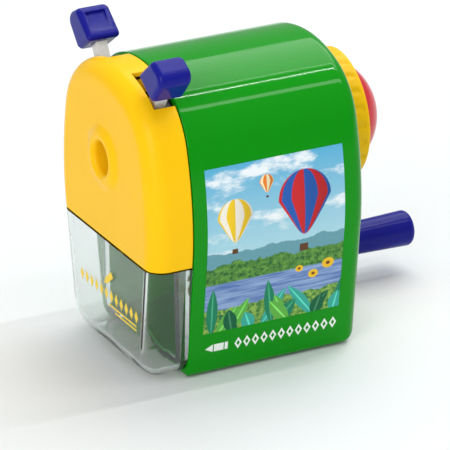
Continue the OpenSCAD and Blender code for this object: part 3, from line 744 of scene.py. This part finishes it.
def printed_label():
    """A glossy printed picture: balloons over a lake with hills, trees and broad leaves."""
    material, tree, shader = new_material("printed_label")
    low, high = cad("label_right")
    tall = high[2] - low[2]
    u, v, _ = side_coordinates(tree, low[1], high[1] - low[1], low[2], tall)
    sky = mix_colour(tree, range_node(tree, v, 0.45, 1.0), linear(176, 218, 228), linear(92, 176, 214))
    squat = math_node(tree, "MULTIPLY", v, 2.2)
    puffs = noise_node(tree, picture_vector(tree, u, squat, 3.0), 3.6, 6.0, 0.6)
    colour = mix_colour(tree, range_node(tree, puffs, 0.52, 0.68, smooth=True), sky, linear(240, 246, 248))
    colour = mix_colour(tree, ridge(tree, u, v, 0.5, 0.16, 3.0, 1.0), colour, linear(104, 158, 170))
    mottle = noise_node(tree, picture_vector(tree, u, v, 5.0), 34.0, 3.0, 0.7)
    trees = mix_colour(tree, range_node(tree, mottle, 0.35, 0.65), linear(24, 92, 44), linear(110, 164, 70))
    colour = mix_colour(tree, ridge(tree, u, v, 0.42, 0.12, 9.0, 7.0), colour, trees)
    wide = math_node(tree, "MULTIPLY", u, 4.0)
    low_waves = math_node(tree, "MULTIPLY", v, 60.0)
    ripple = noise_node(tree, picture_vector(tree, wide, low_waves, 2.0), 1.0, 3.0, 0.6)
    crests = range_node(tree, ripple, 0.35, 0.65)
    lake = mix_colour(tree, crests, linear(84, 116, 176), linear(150, 176, 214))
    colour = mix_colour(tree, ridge(tree, u, v, 0.31, 0.03, 2.0, 9.0), colour, lake)
    bank = mix_colour(tree, range_node(tree, mottle, 0.4, 0.6), linear(48, 118, 56), linear(150, 186, 84))
    colour = mix_colour(tree, ridge(tree, u, v, 0.15, 0.14, 4.0, 11.0), colour, bank)
    for centre, size, first, second in (((0.17, 0.7), 0.11, (246, 205, 40), (246, 240, 224)),
                                        ((0.6, 0.74), 0.165, (204, 40, 44), (40, 92, 176)),
                                        ((0.37, 0.87), 0.045, (238, 130, 40), (250, 236, 190))):
        colour = paint_balloon(tree, colour, u, v, centre, size, linear(*first), linear(*second))
    colour = paint_leaves(tree, colour, u, v)
    for i in range(3):
        place = {"U": u, "V": v, "Centre_U": 0.76 - 0.09 * i, "Centre_V": 0.3 - 0.05 * (i % 2)}
        petals = use(tree, SPOT, **place, Width=0.04 - 0.007 * i, Height=0.034 - 0.006 * i, Soft=0.12)
        colour = mix_colour(tree, petals.outputs["Mask"], colour, linear(238, 190, 40))
        heart = use(tree, SPOT, **place, Width=0.015 - 0.002 * i, Height=0.013 - 0.002 * i, Soft=0.3)
        colour = mix_colour(tree, heart.outputs["Mask"], colour, linear(122, 62, 26))
    lay_skin(tree, shader, MOULDED, colour, 0.06, Roughness=0.28, Flow=0.02, Grain=5200.0, Wave=0.1)
    shader.inputs["Specular IOR Level"].default_value = 0.2
    return material


def shell_plastic():
    """The shell's green plastic, with a white printed line low on each side."""
    material, tree, shader = new_material("green_plastic")
    low, high = cad("label_right")
    u, v, side = side_coordinates(tree, low[1] + 0.5, high[1] - low[1] - 1.0, low[2] - 4.9, 1.0)
    mark = use(tree, PRINT, U=u, V=v, Side=side)
    colour = mix_colour(tree, mark.outputs["Mask"], linear(0, 142, 4), linear(238, 242, 236))
    lay_skin(tree, shader, MOULDED, colour, 0.15, Roughness=0.06, Marks=0.04)
    shader.inputs["Specular IOR Level"].default_value = 0.2
    return material


def make_materials():
    """Every finish of the object, by the name of its slot."""
    plastics = {
        "yellow_plastic": ((255, 198, 14), 0.24, 0.1, dict(specular=0.1, Marks=0.02)),
        "yellow_print": ((250, 214, 60), 0.4, 0.25, dict(specular=0.2, Grain=4000.0)),
        "blue_plastic": ((22, 24, 134), 0.14, 0.25, dict(specular=0.14, Marks=0.1)),
        "red_plastic": ((206, 34, 46), 0.16, 0.25, dict(specular=0.14, Marks=0.06)),
        "white_plastic": ((232, 232, 228), 0.38, 0.25, dict(Grain=3000.0)),
        "grey_plastic": ((74, 78, 80), 0.45, 0.25, dict(Grain=2600.0, Wave=0.1)),
        "foot_rubber": ((42, 42, 42), 0.75, 0.6, dict(specular=0.2, Wave=0.8)),
    }
    metals = {
        "rod_steel": ((0.66, 0.66, 0.65), 0.16, 0.12),
        "spring_steel": ((0.58, 0.58, 0.6), 0.24, 0.18),
        "screw_steel": ((0.72, 0.71, 0.68), 0.22, 0.2),
        "cutter_steel": ((0.42, 0.42, 0.44), 0.3, 0.35),
    }
    made = {"green_plastic": shell_plastic(), "printed_label": printed_label()}
    made["clear_plastic"] = clear_plastic()
    for name, (colour, roughness, bump, values) in plastics.items():
        made[name] = gloss_plastic(name, linear(*colour), roughness, bump, **values)
    for name, (colour, roughness, stain) in metals.items():
        made[name] = steel(name, colour, roughness, stain)
    return made


MATERIALS = make_materials()


def finish_as(piece, slot, body=None, replaces=()):
    """Gives a piece its finish and, for a new piece, the body it moves with and the nodes it stands for."""
    piece.data.materials.clear()
    piece.data.materials.append(MATERIALS[slot])
    if body:
        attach(piece, body)
    for node in replaces:
        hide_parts(node)


# ---- Housing ----

def tube(name, x, z, inner, outer, y0, y1, edge=0.2, count=48):
    """A round tube along Y with softened ends."""
    profile = [[outer - edge, y0], [outer, y0 + edge], [outer, y1 - edge], [outer - edge, y1],
               [inner, y1], [inner, y0]]
    return turned(name, profile, x, z, count)


def shell_rings():
    """Rings over the whole wall of the shell, from its front edge over the outside and back inside."""
    lip = 0.35
    outside = [(SHELL_FRONT_Y + lip * (1 - math.cos(t)), lip * (1 - math.sin(t))) for t in quarter(4)]
    outside += [(y, 0.0) for y in np.linspace(SHELL_FRONT_Y + 3, REAR_Y - REAR_EDGE_R, 8)]
    outside += [(REAR_Y - REAR_EDGE_R * (1 - math.sin(t)), REAR_EDGE_R * (1 - math.cos(t)))
                for t in quarter(11)[1:]]
    rings = [at_y(body_loop(inset, SHELL_BASE_Z + inset, BASE_CORNER_R), y) for y, inset in outside]
    fillet = 1.0
    start = round_loop(rings[-1], DIAL_BOSS_R + fillet, REAR_Y)
    rings += between(rings[-1], start, 6) + [start]
    boss_r = DIAL_BOSS_R - RUNNING
    inner_boss_y = REAR_Y - WALL - INNER_BOSS_L
    rings += [round_loop(start, boss_r + fillet * (1 - math.sin(t)), REAR_Y + fillet * (1 - math.cos(t)))
              for t in quarter(5)[1:]]
    rings += [round_loop(start, boss_r, BOSS_END_Y - GAP), round_loop(start, boss_r - GAP, BOSS_END_Y)]
    rings += [round_loop(start, SLEEVE_R + RUNNING, y) for y in (BOSS_END_Y, REAR_Y, inner_boss_y)]
    rings += [round_loop(start, DIAL_BOSS_R + 1, y) for y in (inner_boss_y, REAR_Y - WALL)]
    inner = REAR_EDGE_R - WALL
    inside = [(REAR_Y - WALL - inner * (1 - math.sin(t)), WALL + inner * (1 - math.cos(t)))
              for t in quarter(6)[::-1]]
    inside += [(y, WALL) for y in np.linspace(REAR_Y - REAR_EDGE_R - 3, SHELL_FRONT_Y + 3, 6)]
    inside += [(SHELL_FRONT_Y, WALL)]
    rings += [at_y(body_loop(inset, SHELL_BASE_Z + inset, BASE_CORNER_R), y) for y, inset in inside]
    return rings


def make_body_shell():
    """The green shell with its sleeve bore, keyway and screw bosses."""
    shell = loft("green_shell", shell_rings(), wrap=True)
    key_half = 1.15
    key_h = 1.4
    keyway_y0 = REAR_Y - WALL - INNER_BOSS_L - 1
    keyway = block("keyway", [-key_half, keyway_y0, AXIS_Z],
                   [key_half, BOSS_END_Y + 1, AXIS_Z + SLEEVE_R + key_h])
    combine(shell, keyway)
    low, high = cad("chassis_screws")
    plate_y = cad("chassis")[0][1] + 3
    head_r = 2.4
    places = [(high[0] - head_r, low[2] + head_r), (high[0] - head_r - 3, high[2] - head_r)]
    posts = [tube("post", side * x, z, SCREW_BORE_R, SCREW_POST_R, plate_y, REAR_Y - WALL / 2)
             for x, z in places for side in (-1, 1)]
    add_to(shell, *posts)
    shade(shell)
    even_normals(shell)
    finish_as(shell, "green_plastic", "housing", ["body_shell"])


# ---- Pull-out front ----

def cover_loop(inset, base_raise, y):
    """The cover's outline: the body's, cut off level at the cover's lower edge."""
    return at_y(body_loop(inset, COVER_Z + base_raise, COVER_CORNER_R), y)


def cover_rings():
    """Rings over the whole wall of the cover, and the two rings where the slots end."""
    lip = 0.4
    slot_y = SEAM_Y - SLOT_DEPTH
    outside = [(COVER_REAR_Y - lip * (1 - math.cos(t)), lip * (1 - math.sin(t))) for t in quarter(4)]
    outside += [(y, 0.0) for y in np.linspace(COVER_REAR_Y - 1.5, slot_y, 5)]
    outer_slot = len(outside) - 1
    rings = [cover_loop(inset, 0.0, y) for y, inset in outside]
    edge_rise = 0.36
    for t in quarter(14)[1:]:
        inset = FRONT_EDGE_R * (1 - math.cos(t))
        lift = edge_rise * max(0.0, math.sin(t) - 0.9) / 0.1
        rings.append(cover_loop(inset, lift, FRONT_Y + FRONT_EDGE_R * (1 - math.sin(t))))
    start = round_loop(rings[-1], BOSS_FOOT_R, FRONT_Y)
    rings += between(rings[-1], start, 7) + [start]
    rings += boss_rings(start)
    collar_y = cad("lever_left")[0][1] - 0.5
    rings += [round_loop(start, HOLE_R, y) for y in (FRONT_Y + 1.5, collar_y)]
    rings += [round_loop(start, HOLE_R + 2, y) for y in (collar_y, FRONT_Y + WALL)]
    inner = FRONT_EDGE_R - WALL
    for t in quarter(8)[::-1]:
        y = FRONT_Y + WALL + inner * (1 - math.sin(t))
        rings.append(cover_loop(WALL + inner * (1 - math.cos(t)), WALL, y))
    inner_slot = len(rings)
    rings += [cover_loop(WALL, WALL, y) for y in np.linspace(slot_y, COVER_REAR_Y - 1.5, 5)]
    rings += [cover_loop(WALL, WALL, COVER_REAR_Y - f * lip) for f in (0.7, 0.35, 0.0)]
    return rings, outer_slot, inner_slot


def boss_rings(start):
    """The soft raised ring round the pencil hole, from its foot over its top into the hole."""
    rings = []
    top_r = HOLE_R + 1.5
    for share in np.linspace(0.0, 1.0, 12)[1:]:
        radius = BOSS_FOOT_R + (top_r - BOSS_FOOT_R) * share
        rise = RING_H * math.sin(share * math.pi / 2) ** 1.2
        rings.append(round_loop(start, radius, FRONT_Y - rise))
    for t in quarter(9)[1:]:
        radius = HOLE_R + (top_r - HOLE_R) * (1 - math.sin(t))
        rings.append(round_loop(start, radius, FRONT_Y - RING_H + 1.6 * (1 - math.cos(t))))
    return rings


def cut_slots(count, n, outer_slot, inner_slot):
    """Faces of the cover's wall with the two lever slots left open and walled round."""
    spans = [(SLOT_FROM, SLOT_TO), (n - SLOT_TO, n - SLOT_FROM)]
    faces = []
    for r in range(count):
        a = r * n
        b = ((r + 1) % count) * n
        open_row = r < outer_slot or r >= inner_slot
        for i in range(n):
            if open_row and any(lo <= i < hi for lo, hi in spans):
                continue
            faces.append((a + i, a + (i + 1) % n, b + (i + 1) % n, b + i))
    outer_rows = list(range(outer_slot, -1, -1))
    inner_rows = list(range(inner_slot, count))
    for lo, hi in spans:
        faces += [(outer_slot * n + i, outer_slot * n + i + 1, inner_slot * n + i + 1, inner_slot * n + i)
                  for i in range(lo, hi)]
        for i in (lo, hi):
            pairs = list(zip(outer_rows, inner_rows))
            for (o0, i0), (o1, i1) in zip(pairs[:-1], pairs[1:]):
                faces.append((o0 * n + i, o1 * n + i, i1 * n + i, i0 * n + i))
    return faces


def slot_guide(side):
    """Ribs inside the cover that wall a lever slot on its inner, front and outer side."""
    slot_y = SEAM_Y - SLOT_DEPTH
    rib = 1.3
    depth = 5.0
    skin = body_loop(WALL / 2, COVER_Z, COVER_CORNER_R)[SLOT_FROM - 2:SLOT_TO + 3]
    front = np.array([p for p in skin if TONGUE_X <= p[0] <= SLOT_END_X])
    ribs = []
    for x0, x1 in ((TONGUE_X - rib, TONGUE_X), (SLOT_END_X, SLOT_END_X + rib)):
        top = np.interp(x0, skin[::-1, 0], skin[::-1, 1])
        rib_block = block("rib", [min(side * x0, side * x1), slot_y - rib, top - depth],
                          [max(side * x0, side * x1), COVER_REAR_Y - 1.8, top - 0.4])
        ribs.append(rib_block)
    section = np.concatenate([front, front[::-1] - [0.0, depth]]) * [side, 1.0]
    ribs.append(loft("rib", [at_y(section, y) for y in (slot_y - rib, slot_y)]))
    return ribs


def make_front_cover():
    """The yellow cover with its pencil hole, slots, and the sockets behind its face."""
    rings, outer_slot, inner_slot = cover_rings()
    n = len(rings[0])
    faces = cut_slots(len(rings), n, outer_slot, inner_slot)
    cover = make_piece("yellow_cover", np.concatenate(rings), faces)
    plate_y = cad("retainer_plate")[0][1]
    rod_low, rod_high = cad("guide_rods")
    rod_r = (rod_high[2] - rod_low[2]) / 2
    rod_x = rod_high[0] - rod_r
    pin_low, pin_high = cad("lever_pins")
    pin_r = (pin_high[2] - pin_low[2]) / 2
    parts = []
    for side in (-1, 1):
        parts.append(tube("socket", side * rod_x, rod_low[2] + rod_r, rod_r, rod_r + 1.7,
                          FRONT_Y + 1, plate_y))
        parts.append(tube("pivot", side * (pin_high[0] - pin_r), pin_low[2] + pin_r, pin_r, pin_r + 1.4,
                          FRONT_Y + 1, cad("lever_left")[0][1] - 0.05))
        parts.append(tube("post", side * 20.0, COVER_Z + 5.5, SCREW_BORE_R, SCREW_POST_R,
                          FRONT_Y + 1, plate_y))
        parts += slot_guide(side)
    top_z = CROWN_Z - WALL - 4.8
    parts.append(tube("post", 0.0, top_z, SCREW_BORE_R, SCREW_POST_R, FRONT_Y + 1, plate_y))
    add_to(cover, *parts)
    shade(cover)
    even_normals(cover)
    finish_as(cover, "yellow_plastic", "front", ["front_cover"])


# ---- Levers and knobs ----

def knob_section():
    """Corners of a knob at rest, as [x, z, radius], and its middle along Y."""
    low, high = cad("knob_right")
    lean = math.radians(LEVER_LEAN)
    up = np.array([math.sin(lean), math.cos(lean)])
    across = np.array([up[1], -up[0]])
    pivot = np.array([LEVER_PIVOT_X, AXIS_Z + 8.5])
    base = pivot + STEM_L * up
    found = []
    for side, along, radius in KNOB_CORNERS:
        centre = base + (side - math.copysign(radius, side)) * across
        centre = centre + (along + (radius if along < 5 else -radius)) * up
        found.append((centre[0], centre[1], radius))
    return found, (low[1] + high[1]) / 2, (high[1] - low[1]) / 2


def knob_solid(corners, middle_y, half_l):
    """The skin round rounded corners, swept along Y with rounded ends."""
    skin = bmesh.new()
    for x, z, radius in corners:
        edge_r = min(radius, 1.5)
        for end in (-1, 1):
            for turn in np.arange(48) * 2 * math.pi / 48:
                for tilt in quarter(7):
                    out = radius - edge_r + edge_r * math.cos(tilt)
                    y = middle_y + end * (half_l - edge_r + edge_r * math.sin(tilt))
                    point = (x + out * math.cos(turn), y, z + out * math.sin(turn))
                    skin.verts.new([c * MM for c in point])
    hull = bmesh.ops.convex_hull(skin, input=skin.verts)
    loose = {v for v in hull["geom_interior"] + hull["geom_unused"] if isinstance(v, bmesh.types.BMVert)}
    bmesh.ops.delete(skin, geom=list(loose), context="VERTS")
    bmesh.ops.dissolve_limit(skin, angle_limit=math.radians(0.5), verts=skin.verts, edges=skin.edges)
    mesh = bpy.data.meshes.new("knob")
    skin.to_mesh(mesh)
    skin.free()
    knob = bpy.data.objects.new("knob", mesh)
    bpy.context.scene.collection.objects.link(knob)
    return knob


def make_knob(name, side, body):
    """A leaning finger pad with rounded edges and a sunk panel on its inner face."""
    corners, middle_y, half_l = knob_section()
    knob = knob_solid(corners, middle_y, half_l)
    foot = np.array(corners[0][:2])
    head = np.array(corners[3][:2])
    along = (head - foot) / np.linalg.norm(head - foot)
    away = np.array([-along[1], along[0]])
    middle = (foot + head) / 2 + away * (corners[0][2] + corners[3][2]) / 2
    reach = np.linalg.norm(head - foot) * 0.42
    deep = 0.3
    section = [middle + along * a + away * b for a, b in
               ((-reach, -deep), (reach, -deep), (reach, 2.0), (-reach, 2.0))]
    panel_l = half_l * 0.58
    panel = loft("panel", [at_y(np.array(section), y) for y in (middle_y - panel_l, middle_y + panel_l)])
    combine(knob, panel)
    for vertex in knob.data.vertices:
        vertex.co.x *= side
    if side < 0:
        knob.data.flip_normals()
    knob.name = name
    soften(knob, 0.12, 2, 50.0)
    shade(knob, 40.0)
    even_normals(knob)
    finish_as(knob, "blue_plastic", body, ["knob_right" if side > 0 else "knob_left"])


# ---- Drawer ----

def nose_rings(base, corner, edge, inset, y_from, y_to, steps=9):
    """Rings of a body with a rounded front edge, moved in by inset, from its face to y_to."""
    rings = []
    for t in quarter(steps)[::-1]:
        give = edge * (1 - math.cos(t))
        rings.append(at_y(body_loop(inset + give, base + give, corner), y_from + edge * (1 - math.sin(t))))
    rings.append(at_y(body_loop(inset, base, corner), y_to))
    return rings


def arch_cutter(radius, crown_z, rear_y):
    """A wide low drum along Y that cuts or fills the arch under the drawer's front."""
    profile = [[0.0, FRONT_Y - 2], [radius, FRONT_Y - 2], [radius, rear_y + 1], [0.0, rear_y + 1]]
    return turned("arch", profile, 0.0, crown_z, 720)


def make_drawer():
    """The clear drawer: a bin behind the rounded front and a tray inside the shell."""
    wall = 1.6
    corner = 7.0
    arch_rise = 2.5
    arch_half = 17.0
    beyond = 60.0
    low, high = cad("shavings_drawer")
    base = low[2]
    top = high[2]
    drawer = loft("clear_drawer", nose_rings(base, corner, FRONT_EDGE_R, 0.0, FRONT_Y, COVER_REAR_Y, 10))
    combine(drawer, block("lid", [-beyond, FRONT_Y - 5, top], [beyond, beyond, 2 * beyond]))
    arch_r = (arch_half ** 2 + arch_rise ** 2) / (2 * arch_rise)
    arch_z = base + arch_rise - arch_r
    combine(drawer, arch_cutter(arch_r, arch_z, COVER_REAR_Y))
    floor_z = SHELL_BASE_Z + WALL
    tray_half = lean_x(floor_z, WALL) - 2 * GAP
    tray = block("tray", [-tray_half, COVER_REAR_Y - 1.8, floor_z + GAP],
                 [tray_half, high[1], top - 2 * GAP], 1.2)
    combine(drawer, tray, operation="UNION")
    bin_space = loft("bin", nose_rings(base + wall, corner - wall, FRONT_EDGE_R - wall, wall, FRONT_Y + wall,
                                       COVER_REAR_Y - wall, 8))
    combine(bin_space, arch_cutter(arch_r + wall, arch_z, COVER_REAR_Y))
    combine(drawer, bin_space)
    tray_space = block("space", [wall - tray_half, FRONT_Y + wall + 2, base + arch_rise + wall],
                       [tray_half - wall, high[1] - wall, 2 * beyond], 1.0)
    combine(drawer, tray_space)
    shade(drawer, 30.0)
    even_normals(drawer)
    finish_as(drawer, "clear_plastic", "drawer", ["shavings_drawer"])


def prism(name, outline, y0, y1):
    """A flat plate with the given [x, z] outline."""
    return loft(name, [at_y(np.array(outline, float), y) for y in (y0, y1)])


def make_drawer_print():
    """A yellow mark on the drawer's front: a slanted pencil, a row of diamonds and two lines."""
    y0 = FRONT_Y - 0.06
    y1 = FRONT_Y + 0.04
    base_z = 15.6
    row_x = -15.5
    pitch = 3.1
    half_w, half_h = 1.0, 1.8
    diamond_z = base_z + 3
    line_end = 18.5
    line_t = 0.45
    plates = []
    for i in range(12):
        x = row_x + pitch * i
        diamond = [[x - half_w, diamond_z], [x, diamond_z - half_h], [x + half_w, diamond_z],
                   [x, diamond_z + half_h]]
        plates.append(prism("mark", diamond, y0, y1))
    for drop, x0 in ((0.0, 1.4), (1.2, 5.4)):
        z = base_z - drop
        outline = [[x0, z], [line_end, z], [line_end, z + line_t], [x0, z + line_t]]
        plates.append(prism("mark", outline, y0, y1))
    tilt = math.radians(38.0)
    way = np.array([math.cos(tilt), math.sin(tilt)])
    side = 0.9 * np.array([-way[1], way[0]])
    tip = np.array([-1.2, base_z + 5.6])
    neck = tip + way * 1.8
    end = tip + way * 6.4
    plates.append(prism("mark", [tip, neck + side, end + side, end - side, neck - side], y0, y1))
    mark = plates.pop()
    add_to(mark, *plates)
    mark.name = "drawer_mark"
    shade(mark)
    finish_as(mark, "yellow_print", "drawer")


# ---- Dial, crank and handle ----

def make_dial():
    """The point dial: wide flat ribs with narrow flutes between, ending short of the rear rim."""
    low, high = cad("point_dial")
    y0 = low[1]
    y1 = high[1]
    radius = (high[2] - low[2]) / 2
    flutes = 24
    profile = [[DIAL_BOSS_R, y0], [radius - 0.4, y0], [radius, y0 + 0.4]]
    profile += [[radius, y] for y in np.linspace(y0 + 0.8, y1 - 0.9, 14)]
    profile += rounded(radius - 0.45, y1 - 0.45, 0.45, 0.0, 90.0)
    profile += [[DIAL_BOSS_R + 3.2, y1], [DIAL_BOSS_R + 3.0, y1 - 0.25], [DIAL_BOSS_R, y1 - 0.25]]

    def flute(turns, y, r):
        phase = (turns * flutes / (2 * math.pi)) % 1.0
        near = np.clip(1 - np.abs(phase - 0.5) / 0.3, 0.0, 1.0)
        fade = np.clip((y1 - 0.9 - y) / 0.9, 0.0, 1.0) * np.clip((y - y0 + 0.6) / 0.6, 0.0, 1.0)
        return 0.32 * fade * near * near * (3 - 2 * near) * (r > radius - 0.3)

    dial = turned("point_dial_ribbed", profile, count=flutes * 14, flute=flute)
    even_normals(dial)
    finish_as(dial, "yellow_plastic", "dial", ["point_dial"])


def handle_place():
    """Where the handle's axis is: its x, its z and the crank's turn from hanging straight down."""
    low, high = cad("handle_pin")
    x = (low[0] + high[0]) / 2
    z = (low[2] + high[2]) / 2
    return x, z, math.atan2(x, AXIS_Z - z)


def two_circle_loop(top_r, end_r, reach, turn, count=64):
    """Outline of a tapered arm: round a circle at the axis and a smaller one away from it."""
    tilt = math.asin((top_r - end_r) / reach)
    upper = np.linspace(-tilt, math.pi + tilt, count)
    lower = np.linspace(math.pi + tilt, 2 * math.pi - tilt, count)
    top = np.stack([top_r * np.cos(upper), top_r * np.sin(upper)], 1)
    end = np.stack([end_r * np.cos(lower), end_r * np.sin(lower) - reach], 1)
    spin = np.array([[math.cos(turn), math.sin(turn)], [-math.sin(turn), math.cos(turn)]])
    return np.concatenate([top, end]) @ spin + np.array([0.0, AXIS_Z])


def make_crank():
    """The red crank: a domed hub with an arm that reaches down from it."""
    low, high = cad("crank_arm")
    y0 = low[1]
    hub_r = high[2] - AXIS_Z
    handle_x, handle_z, turn = handle_place()
    reach = math.hypot(handle_x, AXIS_Z - handle_z)
    tip_r = handle_z - low[2]
    root_r = 7.0
    arm_t = 3.9
    rim = 1.0
    dome_h = high[1] - y0 - rim
    dome_r = (hub_r ** 2 + dome_h ** 2) / (2 * dome_h)
    centre_y = high[1] - dome_r
    start = math.degrees(math.acos(hub_r / dome_r))
    profile = [[0.0, y0], [hub_r - 0.4, y0], [hub_r, y0 + 0.4]]
    profile += rounded(0.0, centre_y, dome_r, start, 89.9, 26)
    profile += [[0.0, high[1]]]
    crank = turned("red_crank", profile, count=128)
    edge = 0.7
    rings = []
    for face_y, inward, turns in ((y0, 1, quarter(5)[::-1]), (y0 + arm_t, -1, quarter(5))):
        for t in turns:
            give = edge * (1 - math.cos(t))
            outline = two_circle_loop(root_r - give, tip_r - give, reach, turn)
            rings.append(at_y(outline, face_y + inward * edge * (1 - math.sin(t))))
    arm = loft("arm", rings)
    combine(crank, arm, operation="UNION")
    shade(crank)
    even_normals(crank)
    finish_as(crank, "red_plastic", "crank", ["crank_arm"])


def make_grip():
    """The blue handle: a tapered grip with a rounded end that turns on its pin."""
    low, high = cad("handle_grip")
    y0 = low[1]
    y1 = high[1]
    x, z, _ = handle_place()
    end_r = (high[2] - low[2]) / 2
    root_r = 4.5
    bore_r = 2.05
    bore_end = cad("handle_pin")[1][1] + 0.3
    edge = 1.7
    profile = [[0.0, bore_end], [bore_r, bore_end], [bore_r, y0], [root_r - 0.5, y0]]
    profile += rounded(root_r - 0.5, y0 + 0.5, 0.5, -90.0, 0.0, 5)
    side_l = y1 - edge - 0.5 - y0
    profile += [[root_r + (end_r - root_r) * f, y0 + 0.5 + side_l * f] for f in (0.25, 0.5, 0.75)]
    profile += rounded(end_r - edge, y1 - edge - 0.2, edge, 0.0, 82.0, 9)
    profile += [[end_r * 0.4, y1 - 0.04], [0.0, y1]]
    grip = turned("blue_grip", profile, x, z, 96)
    even_normals(grip)
    finish_as(grip, "blue_plastic", "handle", ["handle_grip"])


# ---- CAD nodes that keep their shape ----

def dress_cad_nodes():
    """Gives every CAD node the finish that the record names for it."""
    for part in frame["record"]["subparts"]:
        slot = part["material_slot"]
        node = frame["nodes"][part["node"]]
        if slot in MATERIALS:
            finish_as(node, slot)
            shade(node, 30.0)


# ---- Camera, floor and light ----

def make_camera():
    """A long lens, at the height and to the side from which the object is usually shown."""
    azimuth = math.radians(63.75)
    elevation = math.radians(22.71)
    roll = math.radians(-0.9)
    distance = 1145.9
    back = np.array([math.sin(azimuth) * math.cos(elevation), -math.cos(azimuth) * math.cos(elevation),
                     math.sin(elevation)])
    right = np.array([math.cos(azimuth), math.sin(azimuth), 0.0])
    up = np.cross(back, right)
    aim = np.array([0.0, 0.25, 48.0]) + right * 3.47 - up * 14.88
    place = aim + back * distance
    rolled_right = math.cos(roll) * right + math.sin(roll) * up
    rolled_up = -math.sin(roll) * right + math.cos(roll) * up
    camera = bpy.data.objects.new("camera", bpy.data.cameras.new("camera"))
    camera.data.sensor_width = 36.0
    camera.data.lens = 340.0
    turn = Matrix([rolled_right, rolled_up, back]).transposed().to_4x4()
    camera.matrix_world = Matrix.Translation(Vector(place * MM)) @ turn
    camera.data.clip_start = 0.05
    camera.data.clip_end = 20.0
    bpy.context.scene.collection.objects.link(camera)
    bpy.context.scene.camera = camera


def make_floor():
    """A plain pale floor."""
    size = 2500.0
    floor = make_piece("floor", [[-size, -size, 0], [size, -size, 0], [size, size, 0], [-size, size, 0]],
                       [(0, 1, 2, 3)])
    material, tree, shader = new_material("floor")
    where = own_position(tree)
    tone = range_node(tree, noise_node(tree, where, 9.0, 3.0), 0.3, 0.7)
    pale = mix_colour(tree, tone, (0.79, 0.815, 0.81), (0.81, 0.83, 0.82))
    tree.links.new(pale, shader.inputs["Base Color"])
    shader.inputs["Roughness"].default_value = 0.6
    shader.inputs["Specular IOR Level"].default_value = 0.2
    floor.data.materials.append(material)


def area_light(name, place, aim, width, height, power):
    """A soft rectangular light at a place in millimetres, turned to a point, with its height along Y."""
    lamp = bpy.data.lights.new(name, "AREA")
    lamp.shape = "RECTANGLE"
    lamp.size = width * MM
    lamp.size_y = height * MM
    lamp.energy = power
    light = bpy.data.objects.new(name, lamp)
    light.location = Vector(place) * MM
    back = (Vector(place) - Vector(aim)).normalized()
    along = Vector((0.0, 1.0, 0.0))
    along = (along - along.dot(back) * back).normalized()
    light.rotation_mode = "QUATERNION"
    light.rotation_quaternion = Matrix((along.cross(back), along, back)).transposed().to_quaternion()
    bpy.context.scene.collection.objects.link(light)


def make_lights():
    """Soft light from above, long lamps that draw lines along the shell, and a bright surrounding."""
    middle = (0.0, 0.0, 50.0)
    shoulder = Vector((18.0, 0.0, 78.0))
    area_light("overhead", (-420.0, 410.0, 860.0), middle, 700.0, 900.0, 5.2)
    area_light("front_fill", (700.0, -900.0, 500.0), middle, 900.0, 700.0, 6.5)
    for name, way, width, power in (("line", (0.0, 0.408, 0.912), 10.0, 0.9),
                                    ("faint_line", (-0.158, 0.408, 0.899), 6.0, 0.12),
                                    ("soft_line", (0.36, 0.41, 0.84), 60.0, 0.5)):
        area_light(name, shoulder + Vector(way) * 700.0, shoulder, width, 420.0, power)
    world = bpy.data.worlds.new("studio")
    world.use_nodes = True
    bpy.context.scene.world = world
    tree = world.node_tree
    background = tree.nodes["Background"]
    split = tree.nodes.new("ShaderNodeSeparateXYZ")
    tree.links.new(tree.nodes.new("ShaderNodeTexCoord").outputs["Generated"], split.inputs[0])
    rise = range_node(tree, split.outputs[2], 0.0, 0.9, smooth=True)
    tree.links.new(mix_colour(tree, rise, (0.66, 0.68, 0.7), (0.95, 0.975, 1.0)), background.inputs["Color"])
    background.inputs["Strength"].default_value = 0.66
    bpy.context.scene.view_settings.view_transform = "Standard"


make_camera()
make_floor()
make_lights()
dress_cad_nodes()
make_body_shell()
make_front_cover()
make_knob("right_knob", 1, "right_lever")
make_knob("left_knob", -1, "left_lever")
make_drawer()
make_drawer_print()
make_dial()
make_crank()
make_grip()
